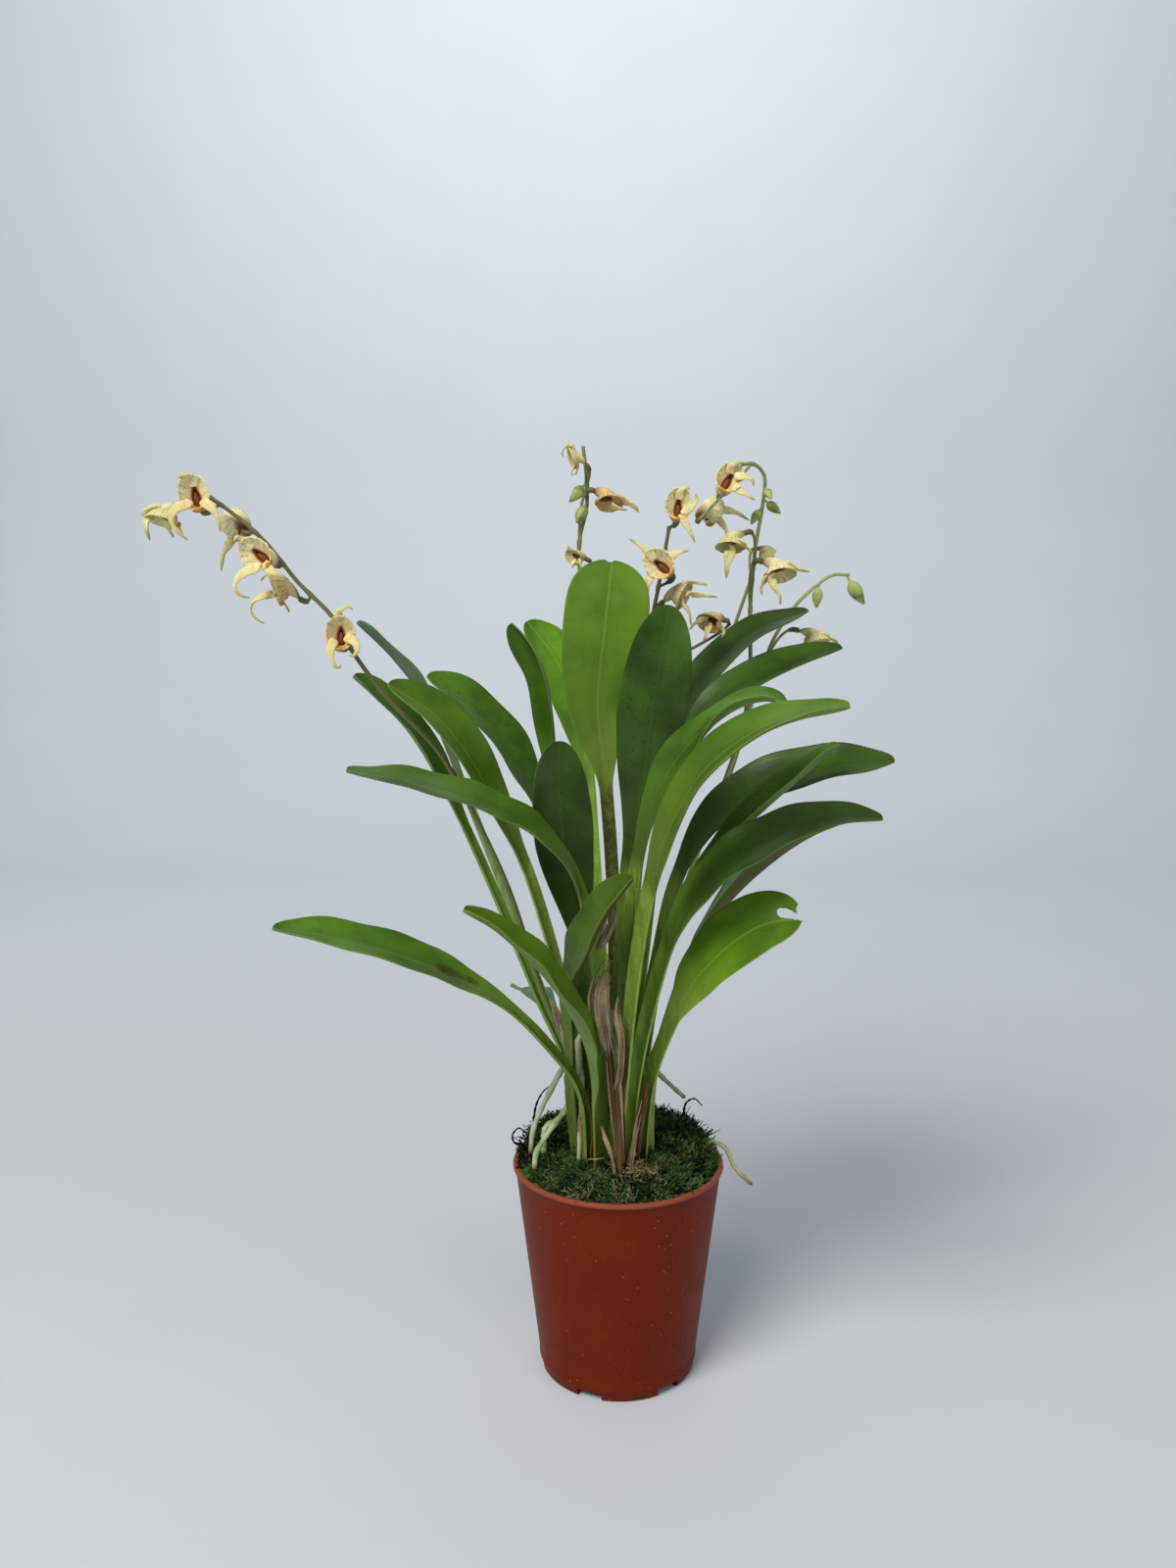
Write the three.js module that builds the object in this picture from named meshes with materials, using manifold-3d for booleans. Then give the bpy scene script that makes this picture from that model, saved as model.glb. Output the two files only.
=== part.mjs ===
// Masdevallia polysticta in a small plastic pot: a clump of strap-shaped leaves and six flower stems.
// Millimetres, +Z up. The origin is the centre of the pot's flat base, and +Y points to the plant's back.
import * as THREE from "three";
import { mergeVertices } from "three/addons/utils/BufferGeometryUtils.js";
import Module from "manifold-3d";

const wasm = await Module();
wasm.setup();

// Driving dimensions
const potHeight = 60;
const potRimRadius = 30;
const potBaseRadius = 22;
const potWall = 1.0;
const rimBand = 1.4;
const rimBandProud = 0.5;
const floorThickness = 1.4;
const footRing = { height: 3.4, half: 0.5, proud: 0.25 };
const baseEdge = { inset: 1.2, step: 0.3, rise: 0.4, height: 1.2 };
const rimEdge = { bevel: 0.3, inset: 0.4 };
const drainCount = 6;
const drainWidth = 7;
const drainHeight = 2.2;
const drainDepth = 6;
const drainInset = 0.6;
const drainFirst = -112;
const gap = 0.3;
const mixTop = 50;
const rhizomeTop = 54;
const stalkFoot = rhizomeTop + gap;
const bladeThickness = 1.0;
const stalkRadius = 1.35;
const stalkFlare = 1.12;
const stalkTaper = 0.3;
const stalkFlattened = 0.92;
const stemFootRadius = 1.1;
const stemTipRadius = 0.7;
const stemSteps = 14;
const stemSides = 6;

// Real surfaces: colour and roughness
const surfaces = {
  pot: { color: 0x8a3f28, roughness: 0.5 },
  mix: { color: 0x4a3a2a, roughness: 0.95 },
  moss: { color: 0x2f4a1c, roughness: 0.95 },
  rhizome: { color: 0x6d6a3f, roughness: 0.8 },
  bright: { color: 0x4f7f22, roughness: 0.4 },
  middle: { color: 0x3f6b22, roughness: 0.4 },
  dark: { color: 0x2a4e1c, roughness: 0.4 },
  grey: { color: 0x5f7f66, roughness: 0.4 },
  brown: { color: 0x5a4a2a, roughness: 0.4 },
  stem: { color: 0x55602f, roughness: 0.6 },
  petal: { color: 0xd9cf9a, roughness: 0.6 },
  root: { color: 0xb9c8a6, roughness: 0.7 },
  sheath: { color: 0x8a7458, roughness: 0.85 },
};

const group = new THREE.Group();

function addPiece(name, geometry, surface) {
  const mesh = new THREE.Mesh(geometry, new THREE.MeshStandardMaterial({ ...surface, metalness: 0 }));
  mesh.name = name;
  group.add(mesh);
  return mesh;
}

// Solids: a closed geometry becomes a manifold for joining and cutting, and comes back as a geometry
function toSolid(geometry) {
  const bare = geometry.clone();
  bare.deleteAttribute("normal");
  bare.deleteAttribute("uv");
  const welded = mergeVertices(bare, 1e-4);
  const vertProperties = new Float32Array(welded.attributes.position.array);
  const triVerts = new Uint32Array(welded.index.array);
  return new wasm.Manifold(new wasm.Mesh({ numProp: 3, vertProperties, triVerts }));
}

function toGeometry(solid) {
  const mesh = solid.getMesh();
  const geometry = new THREE.BufferGeometry();
  const stride = mesh.numProp;
  const count = mesh.vertProperties.length / stride;
  const positions = new Float32Array(count * 3);
  for (let i = 0; i < count; i += 1) {
    positions.set(mesh.vertProperties.subarray(i * stride, i * stride + 3), i * 3);
  }
  geometry.setAttribute("position", new THREE.BufferAttribute(positions, 3));
  geometry.setIndex(new THREE.BufferAttribute(new Uint32Array(mesh.triVerts), 1));
  return geometry;
}

function join(solids) {
  return solids.reduce((whole, solid) => whole.add(solid));
}

// Six times the enclosed volume: above zero where the faces point out
function signedVolume(points, faces) {
  const cross = new THREE.Vector3();
  let sum = 0;
  for (const [i, j, k] of faces) {
    sum += points[i].dot(cross.crossVectors(points[j], points[k]));
  }
  return sum;
}

function closedGeometry(points, faces) {
  const outward = signedVolume(points, faces) > 0;
  const index = faces.flatMap(([i, j, k]) => (outward ? [i, j, k] : [i, k, j]));
  const geometry = new THREE.BufferGeometry();
  const positions = new Float32Array(points.flatMap((p) => [p.x, p.y, p.z]));
  geometry.setAttribute("position", new THREE.BufferAttribute(positions, 3));
  geometry.setIndex(index);
  return geometry;
}

// Skin over a row of rings with flat ends. The second half of each ring is split the other way round,
// so that the two faces of a thin blade have alike triangles.
function loft(rings) {
  const sides = rings[0].length;
  const faces = [];
  for (let i = 0; i + 1 < rings.length; i += 1) {
    for (let j = 0; j < sides; j += 1) {
      const a = i * sides + j;
      const b = i * sides + ((j + 1) % sides);
      const c = b + sides;
      const d = a + sides;
      if (j < sides / 2) {
        faces.push([a, b, c], [a, c, d]);
      } else {
        faces.push([a, b, d], [b, c, d]);
      }
    }
  }
  const last = (rings.length - 1) * sides;
  const half = sides / 2;
  for (let j = 0; j + 1 < half; j += 1) {
    const top = [j, j + 1];
    const under = [sides - 1 - j, sides - 2 - j];
    faces.push([top[1], top[0], under[0]], [top[1], under[0], under[1]]);
    faces.push([last + top[0], last + top[1], last + under[0]]);
    faces.push([last + top[1], last + under[1], last + under[0]]);
  }
  return closedGeometry(rings.flat(), faces);
}

// Frame at one place of a curve: along it, across the blade, and out of the face that looks to `face`
function frameAt(curve, t, face) {
  const along = curve.getTangentAt(t);
  const across = new THREE.Vector3().crossVectors(along, face).normalize();
  const out = new THREE.Vector3().crossVectors(across, along);
  return { centre: curve.getPointAt(t), along, across, out };
}

function pointAt(frame, across, out) {
  return frame.centre.clone().addScaledVector(frame.across, across).addScaledVector(frame.out, out);
}

// Corners of a ring: the angle of each, from the middle of the first side
function cornerAngle(corner, sides) {
  return Math.PI - ((corner + 0.5) * 2 * Math.PI) / sides;
}

function vector(list) {
  return new THREE.Vector3(...list);
}

function curveThrough(points) {
  return new THREE.CatmullRomCurve3(points.map(vector));
}

// Round rod with an even number of sides along a curve; radius is a function of the share of the length.
// The first ring's face looks to the front if the rod starts steeply, and up if it doesn't.
const steep = 0.8;

function rod(curve, steps, sides, radius) {
  const rings = [];
  const first = curve.getTangentAt(0);
  let face = Math.abs(first.z) > steep ? new THREE.Vector3(0, -1, 0) : new THREE.Vector3(0, 0, 1);
  for (let i = 0; i <= steps; i += 1) {
    const t = i / steps;
    const frame = frameAt(curve, t, face);
    face = frame.out;
    const ring = [];
    for (let j = 0; j < sides; j += 1) {
      const angle = cornerAngle(j, sides);
      ring.push(pointAt(frame, radius(t) * Math.cos(angle), radius(t) * Math.sin(angle)));
    }
    rings.push(ring);
  }
  return loft(rings);
}

const cutterSides = 8;
const cutterRings = 5;

function roundCutter(centre, radii) {
  const geometry = new THREE.SphereGeometry(1, cutterSides, cutterRings);
  geometry.scale(...radii);
  geometry.translate(...centre);
  return geometry;
}

// Pot: one turned shell with a rim band, a foot edge and drain slots through the corner of the floor
const potSides = 40;

function potOuterRadius(z) {
  return THREE.MathUtils.lerp(potBaseRadius, potRimRadius - rimBandProud, z / potHeight);
}

function makePot() {
  const shoulder = potHeight - rimBand;
  const innerTop = potOuterRadius(potHeight) - potWall;
  const innerFloor = potOuterRadius(floorThickness) - potWall;
  const ringLow = footRing.height - footRing.half;
  const ringHigh = footRing.height + footRing.half;
  const profile = [
    [0, 0],
    [potBaseRadius - baseEdge.inset, 0],
    [potBaseRadius - baseEdge.step, baseEdge.rise],
    [potOuterRadius(baseEdge.height), baseEdge.height],
    [potOuterRadius(ringLow), ringLow],
    [potOuterRadius(footRing.height) + footRing.proud, footRing.height],
    [potOuterRadius(ringHigh), ringHigh],
    [potOuterRadius(shoulder), shoulder],
    [potRimRadius, shoulder + rimEdge.bevel],
    [potRimRadius, potHeight - rimEdge.bevel],
    [potRimRadius - rimEdge.inset, potHeight],
    [innerTop, potHeight],
    [innerFloor, floorThickness],
    [0, floorThickness],
  ];
  const turned = new THREE.LatheGeometry(profile.map(([r, z]) => new THREE.Vector2(r, z)), potSides);
  let pot = toSolid(turned.rotateX(Math.PI / 2));
  for (let i = 0; i < drainCount; i += 1) {
    const slot = new THREE.BoxGeometry(drainDepth, drainWidth, drainHeight * 2);
    slot.translate(potBaseRadius - drainInset, 0, 0);
    slot.rotateZ(THREE.MathUtils.degToRad(drainFirst + (i * 360) / drainCount));
    pot = pot.subtract(toSolid(slot));
  }
  addPiece("pot", toGeometry(pot), surfaces.pot);
}

// Leaves. Each row gives the foot of the stalk on the rhizome, the middle line to the tip, the blade's
// greatest width, the share of the length that is stalk, the way the upper face looks at the blade's
// foot and at its tip, and how deep the blade is folded along its midrib. opening says how slowly the blade
// widens, and widest at which share of it.
const leafRows = [
  { name: "leaf_left_back_grey", tone: "grey", foot: [-9, 13], width: 14, stalk: 0.62, fold: 0.3,
    path: [[-10, 15, 78], [-20, 19, 98], [-32, 25, 128], [-45, 31, 160], [-57, 35, 189], [-68, 37, 204],
      [-79, 38, 214]],
    face: [[0.5, 0.5, 0.7], [0.5, 0.4, 0.8]] },
  { name: "leaf_left_dark_narrow", tone: "dark", foot: [-12.5, 8], width: 12, stalk: 0.62, fold: 0.4,
    path: [[-14, 10, 82], [-23, 11, 104], [-36, 12, 136], [-46, 11, 159], [-55, 9, 178], [-63, 7, 189],
      [-74, 5, 198]],
    face: [[0.7, -0.4, 0.6], [0.7, -0.3, 0.7]] },
  { name: "leaf_left_bright", tone: "bright", foot: [-9.5, 2.5], width: 17, stalk: 0.58, fold: 0.3,
    path: [[-10, 2, 83], [-16, 0, 111], [-25, -3, 143], [-33, -6, 162], [-41, -10, 178], [-49, -12, 188],
      [-61, -15, 196]],
    face: [[0.7, -0.5, 0.5], [0.5, -0.4, 0.7]], opening: 1.1 },
  { name: "leaf_left_dark_broad", tone: "dark", foot: [-7, 9], width: 18, stalk: 0.58, fold: 0.3,
    path: [[-7, 10, 81], [-11, 13, 113], [-17, 15, 143], [-24, 14, 164], [-33, 12, 180], [-43, 10, 191],
      [-54, 9, 198]],
    face: [[0.7, -0.5, 0.5], [0.5, -0.4, 0.7]] },
  { name: "leaf_left_long_front", tone: "middle", foot: [-3.5, -2.5], width: 16, stalk: 0.52, fold: 0.25,
    path: [[-5, -11, 88], [-7, -20, 118], [-11, -27.5, 145], [-20, -36, 159], [-34, -43, 168], [-49, -49, 173],
      [-64, -56, 177]],
    face: [[0.5, -0.5, 0.7], [0.1, -0.1, 1]], opening: 1.1 },
  { name: "leaf_centre_back_narrow", tone: "middle", foot: [-3, 8], width: 12, stalk: 0.62, fold: 0.4,
    path: [[-4, 9, 86], [-9, 11, 118], [-14, 10, 144], [-18, 7, 167], [-20, 5, 185], [-23, 3, 200],
      [-30, 1, 212]],
    face: [[-0.9, -0.4, 0.1], [-0.8, -0.5, 0.4]] },
  { name: "leaf_front_dark_upright", tone: "dark", foot: [-7, -3.5], width: 16, stalk: 0.52, fold: 0.2,
    path: [[-8, -6, 88], [-9.5, -12, 113], [-12, -17, 136], [-15, -19, 155], [-16, -19, 170], [-16, -18, 181]],
    face: [[0.3, -1, 0], [0.2, -1, 0.2]] },
  { name: "leaf_centre_back_upright", tone: "middle", foot: [0, 13], width: 17, stalk: 0.66, fold: 0.25,
    path: [[-2, 17, 84], [-5, 22, 118], [-7, 26, 147], [-9, 28, 171], [-13, 30, 190], [-19, 32, 204],
      [-27, 34, 214]],
    face: [[0.3, -0.8, 0.2], [0.4, -0.7, 0.6]] },
  { name: "leaf_centre_notched", tone: "bright", foot: [0.6, 1.2], width: 23, stalk: 0.62, fold: 0.12,
    path: [[-1, 2, 89], [-1, 1, 118], [-2, 0, 146], [-4, -2, 171], [-6, -3, 190], [-4, -4, 211],
      [-2, -3, 229]],
    face: [[0, -1, 0.1], [0.1, -1, 0.1]], opening: 1.15, widest: 0.74, blunt: 3.4, notch: 1.2 },
  { name: "leaf_front_tall_dark", tone: "dark", foot: [1.2, -5], width: 18, stalk: 0.56, fold: 0.15,
    path: [[0, -9, 93], [1, -13, 124], [3, -17, 152], [6, -20, 172], [8, -22, 190], [10, -23, 203],
      [12, -23, 216]],
    face: [[-0.3, -1, 0], [-0.1, -1, 0.1]] },
  { name: "leaf_front_short", tone: "brown", foot: [-11, -4.5], width: 15, stalk: 0.36, fold: 0.45,
    path: [[-13, -7, 78], [-13.5, -13, 96], [-13, -21, 113], [-11, -30, 127], [-7, -34, 136], [-3, -37, 143],
      [2, -41, 149]],
    face: [[-0.7, -0.6, 0.4], [-0.5, -0.4, 0.8]], opening: 1, blunt: 1.9 },
  { name: "leaf_right_upper_blunt", tone: "middle", foot: [4.5, 12], width: 16, stalk: 0.62, fold: 0.25,
    path: [[4, 13, 85], [5, 16, 116], [7, 19, 148], [14, 21, 175], [24, 21, 196], [39, 22, 210],
      [56, 24, 217]],
    face: [[-0.6, -0.6, 0.4], [-0.3, -0.3, 0.9]] },
  { name: "leaf_right_curled", tone: "middle", foot: [-2.5, -6.5], width: 15, stalk: 0.58, fold: 0.25,
    path: [[0, -14.5, 94], [1.5, -22, 123], [4, -28, 150], [9, -33, 170], [18, -37, 184], [28, -41, 192],
      [36, -43, 193], [40, -44, 188]],
    face: [[-0.7, -0.6, 0.3], [0.2, -0.05, 1]] },
  { name: "leaf_right_dark_back", tone: "dark", foot: [7, 5], width: 16, stalk: 0.6, fold: 0.3,
    path: [[5, 6, 87], [8, 7, 121], [12, 7, 153], [19, 7, 178], [30, 7, 192], [46, 8, 201], [63, 9, 206]],
    face: [[-0.6, -0.6, 0.4], [-0.3, -0.3, 0.9]] },
  { name: "leaf_right_long_front", tone: "bright", foot: [-1, -10], width: 18, stalk: 0.55, fold: 0.25,
    path: [[1.2, -19.5, 91], [3, -31, 119], [6, -40, 143], [11, -47, 163], [18, -54, 177], [32, -60, 188],
      [49, -66, 192]],
    face: [[-0.7, -0.6, 0.4], [-0.2, -0.1, 1]], opening: 0.9 },
  { name: "leaf_right_far", tone: "dark", foot: [8.5, 1], width: 18, stalk: 0.54, fold: 0.3,
    path: [[6, 0, 89], [11, -2, 118], [16, -5, 142], [24, -8, 158], [36, -11, 168], [54, -14, 174],
      [72, -17, 176]],
    face: [[-0.5, -0.6, 0.6], [-0.1, -0.4, 0.9]], opening: 1 },
  { name: "leaf_right_folded", tone: "middle", foot: [4.8, -2.2], width: 10, stalk: 0.55, fold: 0.6,
    path: [[5, -6, 89], [10, -12, 115], [17, -17, 139], [27, -21, 155], [37, -24, 166], [47, -26, 175],
      [55, -27, 181]],
    face: [[-0.5, -0.4, 0.7], [-0.4, -0.2, 0.9]], blunt: 1.7 },
  { name: "leaf_right_middle", tone: "middle", foot: [3, -8.5], width: 18, stalk: 0.5, fold: 0.3,
    path: [[4, -14, 85], [8, -22, 112], [15, -31, 137], [25, -37, 151], [39, -40, 160], [52, -41, 164],
      [63, -42, 164]],
    face: [[-0.5, -0.6, 0.6], [-0.1, -0.2, 1]], opening: 0.95 },
  { name: "leaf_right_brown_under", tone: "brown", foot: [8.8, -3], width: 14, stalk: 0.52, fold: 0.3,
    path: [[9.5, -6, 86], [14, -10, 107], [20, -14, 125], [28, -18, 139], [38, -21, 150], [49, -23, 158],
      [60, -24, 162]],
    face: [[-0.5, 0.2, 0.9], [-0.4, 0.2, 0.9]] },
  { name: "leaf_right_back_grey", tone: "grey", foot: [9, 8], width: 12, stalk: 0.52, fold: 0.3,
    path: [[9, 9, 81], [17, 12, 103], [24, 17, 121], [32, 21, 133], [38, 24, 141], [46, 27, 145]],
    face: [[-0.5, 0.2, 0.8], [-0.3, 0.3, 0.9]] },
  { name: "leaf_right_bitten", tone: "bright", foot: [6.5, -6.6], width: 18, stalk: 0.5, fold: 0.25,
    path: [[8, -12, 85], [13, -19, 104], [20, -27, 121], [29, -33, 132], [36, -37, 137], [44, -41, 139]],
    face: [[-0.5, -0.6, 0.6], [-0.15, -0.75, 0.65]], opening: 0.85, blunt: 3.2, bite: [42.2, -41, 139.6, 2] },
  { name: "leaf_front_left_low", tone: "bright", foot: [-4.8, -10.2], width: 14, stalk: 0.15, fold: 0.35,
    path: [[-6, -21, 85], [-8, -32, 104], [-14, -43, 120], [-22, -50, 132], [-30, -54, 140], [-37, -59, 145]],
    face: [[0.5, -0.6, 0.6], [0.2, -0.2, 1]], opening: 0.75, widest: 0.56 },
  { name: "leaf_left_long_low", tone: "middle", foot: [-8.4, -7.8], width: 15, stalk: 0.42, fold: 0.3,
    path: [[-10.5, -15, 85], [-19, -21, 100], [-30, -24, 112], [-43, -28, 121], [-57, -32, 128],
      [-72, -35, 133], [-87, -38, 136]],
    face: [[0.4, -0.4, 0.8], [0.1, -0.2, 1]] },
  { name: "leaf_back_left_small", tone: "grey", foot: [-5, 16.5], width: 12, stalk: 0.45, fold: 0.3,
    path: [[-10, 24, 74], [-17, 36, 86], [-23, 48, 92], [-28, 62, 92], [-32, 78, 88]],
    face: [[0.3, -0.5, 0.8], [0.1, 0, 1]] },
];

// Places along a leaf where its outline is drawn: along the stalk, and along the blade
const stalkStations = [0, 0.33, 0.67];
const bladeStations = [0.05, 0.2, 0.36, 0.52, 0.68, 0.8, 0.9, 0.97, 1];
const acrossBlade = [-1, -0.5, 0, 0.5, 1];

// A plain blade's outline: where it is widest, how slowly it opens, how blunt its tip is, what is left at
// the very tip, how far up the round stalk goes over into the flat blade, and the fold's zero level
const blade = { widest: 0.64, opening: 1.3, blunt: 2.4, least: 0.012, blend: 0.3, foldLevel: 0.35 };

// Half width of a blade, as a share of its greatest: slow to open at the stalk, blunt at the tip
function bladeShare(u, { widest = blade.widest, opening = blade.opening, blunt = blade.blunt }) {
  const rise = Math.sin((Math.PI / 2) * Math.min(1, u / widest)) ** opening;
  const past = Math.max(0, (u - widest) / (1 - widest));
  return rise * Math.sqrt(Math.max(blade.least, 1 - past ** blunt));
}

function leafRing(curve, t, row) {
  const u = Math.max(0, (t - row.stalk) / (1 - row.stalk));
  const face = vector(row.face[0]).lerp(vector(row.face[1]), u);
  const frame = frameAt(curve, t, face);
  const blend = THREE.MathUtils.smoothstep(u, 0, blade.blend);
  const radius = stalkRadius * (stalkFlare - stalkTaper * t);
  const half = Math.max(radius, (row.width / 2) * bladeShare(u, row));
  const points = [];
  for (const side of [1, -1]) {
    acrossBlade.forEach((step) => {
      const v = step * side;
      const angle = cornerAngle(points.length, 2 * acrossBlade.length);
      const trough = row.fold * half * (v * v - blade.foldLevel);
      const bladeOut = trough + (side * bladeThickness) / 2;
      const stalkAcross = radius * Math.cos(angle);
      const stalkOut = radius * Math.sin(angle) * stalkFlattened;
      const across = THREE.MathUtils.lerp(stalkAcross, v * half, blend);
      const point = pointAt(frame, across, THREE.MathUtils.lerp(stalkOut, bladeOut, blend));
      if (row.notch && u === 1 && v === 0) {
        point.addScaledVector(frame.along, -row.notch);
      }
      point.z = Math.max(point.z, stalkFoot);
      points.push(point);
    });
  }
  return points;
}

function leafCurve(row) {
  return curveThrough([[...row.foot, stalkFoot], ...row.path]);
}

// How far a bite reaches through the blade from front to back, against its radius
const biteReach = 3;

function leafSolid(row) {
  const curve = leafCurve(row);
  const stations = [
    ...stalkStations.map((s) => s * row.stalk),
    ...bladeStations.map((u) => row.stalk + u * (1 - row.stalk)),
  ];
  let leaf = toSolid(loft(stations.map((t) => leafRing(curve, Math.min(t, 1), row))));
  if (row.bite) {
    const [x, y, z, size] = row.bite;
    leaf = leaf.subtract(toSolid(roundCutter([x, y, z], [size, size * biteReach, size])));
  }
  return leaf;
}

// Flowers. The three petal-like lobes are one cupped shell with a hood above, two arms below and a tail
// on each. Its own frame has +Y out of the mouth and +Z to the hood's tip. The shell is a round of spokes;
// its front layer rises in the middle as the lip, and its back layer is drawn out to the joint, where the
// flower's own stalk meets the dark chin.
const hoodHalfWidth = 4.3;
const hoodUp = 5.4;
const hoodDown = 4.4;
const hoodDepth = 5;
const hoodThickness = 0.75;
const hoodRise = 2.4;
const hoodInnerRise = 1.2;
const spokes = 12;
const hoodShares = [0.6, 1];
const lip = { half: 1.1, halfHeight: 1.6, low: -0.4, rise: 2.2, peak: 3.4 };
const joint = [0, -3.6, -4.4];

function hoodPoint(spoke, share, inset) {
  const angle = (spoke * 2 * Math.PI) / spokes;
  const height = Math.cos(angle) > 0 ? hoodUp : hoodDown;
  return new THREE.Vector3(
    (hoodHalfWidth - inset) * share * Math.sin(angle),
    -hoodDepth / 2 + hoodDepth * share ** hoodRise + inset * (hoodInnerRise - share),
    (height - inset) * share * Math.cos(angle),
  );
}

// One lobe's free end, in the flower's own frame: the spoke that it grows from, its middle line past the
// hood's rim, and half its width at each place. droop hangs the arms, and hook bends the hood's tail forward.
function lobes(droop, hook) {
  return [
    { spoke: 0, line: [[0, 3.4, 6.8], [0, 4 + 1.5 * hook, 9 - 2.2 * hook], [0, 4 + 5 * hook, 12.5 - 7 * hook]],
      half: [1.2, 0.6, 0.4] },
    { spoke: 5, line: [[4.2, 2.6, -6.2], [6 - droop, 3, -9], [6.4 - 2 * droop, 1.6, -13 - droop]],
      half: [1.5, 0.9, 0.4] },
    { spoke: 7, line: [[-4.2, 2.6, -6.2], [-6.6 + droop, 3.2, -8.6], [-7.8 + 2 * droop, 1.4, -12 - droop]],
      half: [1.5, 0.9, 0.4] },
  ];
}

function flowerGeometry(droop, hook) {
  const points = [];
  const faces = [];
  const ring = (spoke, layer, place) => layer + place * spokes + ((spoke + spokes) % spokes);
  const back = 0;
  const front = spokes * hoodShares.length;
  for (const inset of [0, hoodThickness]) {
    for (const share of hoodShares) {
      for (let i = 0; i < spokes; i += 1) {
        points.push(hoodPoint(i, share, inset));
      }
    }
  }
  const lipRing = points.length;
  const floorY = -hoodDepth / 2;
  for (let i = 0; i < spokes; i += 1) {
    const angle = (i * 2 * Math.PI) / spokes;
    const x = lip.half * Math.sin(angle);
    points.push(new THREE.Vector3(x, floorY + lip.rise, lip.low + lip.halfHeight * Math.cos(angle)));
  }
  const lipTop = points.push(new THREE.Vector3(0, floorY + lip.peak, lip.low)) - 1;
  const chin = points.push(vector(joint)) - 1;
  for (let i = 0; i < spokes; i += 1) {
    const k = i + 1;
    const [a, b] = [ring(i, back, 0), ring(k, back, 0)];
    const [c, d] = [ring(i, back, 1), ring(k, back, 1)];
    faces.push([chin, b, a], [a, b, d], [a, d, c]);
    const [e, f] = [ring(i, front, 0), ring(k, front, 0)];
    const [g, h] = [ring(i, front, 1), ring(k, front, 1)];
    const [m, n] = [lipRing + i, lipRing + (k % spokes)];
    faces.push([lipTop, m, n], [m, f, n], [m, e, f], [e, h, f], [e, g, h]);
  }
  const taken = new Set();
  for (const lobe of lobes(droop, hook)) {
    const at = lobe.spoke;
    taken.add((at - 1 + spokes) % spokes).add(at);
    let last = [at - 1, at, at + 1].map((i) => ring(i, back, 1));
    last.push(...[at + 1, at, at - 1].map((i) => ring(i, front, 1)));
    const line = [points[ring(at, back, 1)], ...lobe.line.map(vector)];
    const side = points[last[2]].clone().sub(points[last[0]]).normalize();
    lobe.half.forEach((half, n) => {
      const along = line[n + 1].clone().sub(line[n]).normalize();
      const across = side.clone().addScaledVector(along, -side.dot(along)).normalize();
      const through = new THREE.Vector3().crossVectors(along, across).multiplyScalar(hoodThickness);
      const next = [[-half, 0], [0, 0], [half, 0], [half, 1], [0, 1], [-half, 1]].map(([w, t]) => points.push(
        line[n + 1].clone().addScaledVector(across, w).addScaledVector(through, t)) - 1);
      for (let j = 0; j < 6; j += 1) {
        const k = (j + 1) % 6;
        faces.push([last[j], last[k], next[k]], [last[j], next[k], next[j]]);
      }
      last = next;
    });
    faces.push([last[0], last[1], last[4]], [last[0], last[4], last[5]]);
    faces.push([last[1], last[2], last[3]], [last[1], last[3], last[4]]);
  }
  for (let i = 0; i < spokes; i += 1) {
    if (!taken.has(i)) {
      const [b, d] = [ring(i, back, 1), ring(i + 1, back, 1)];
      const [f, h] = [ring(i, front, 1), ring(i + 1, front, 1)];
      faces.push([b, d, h], [b, h, f]);
    }
  }
  return closedGeometry(points, faces);
}

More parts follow.
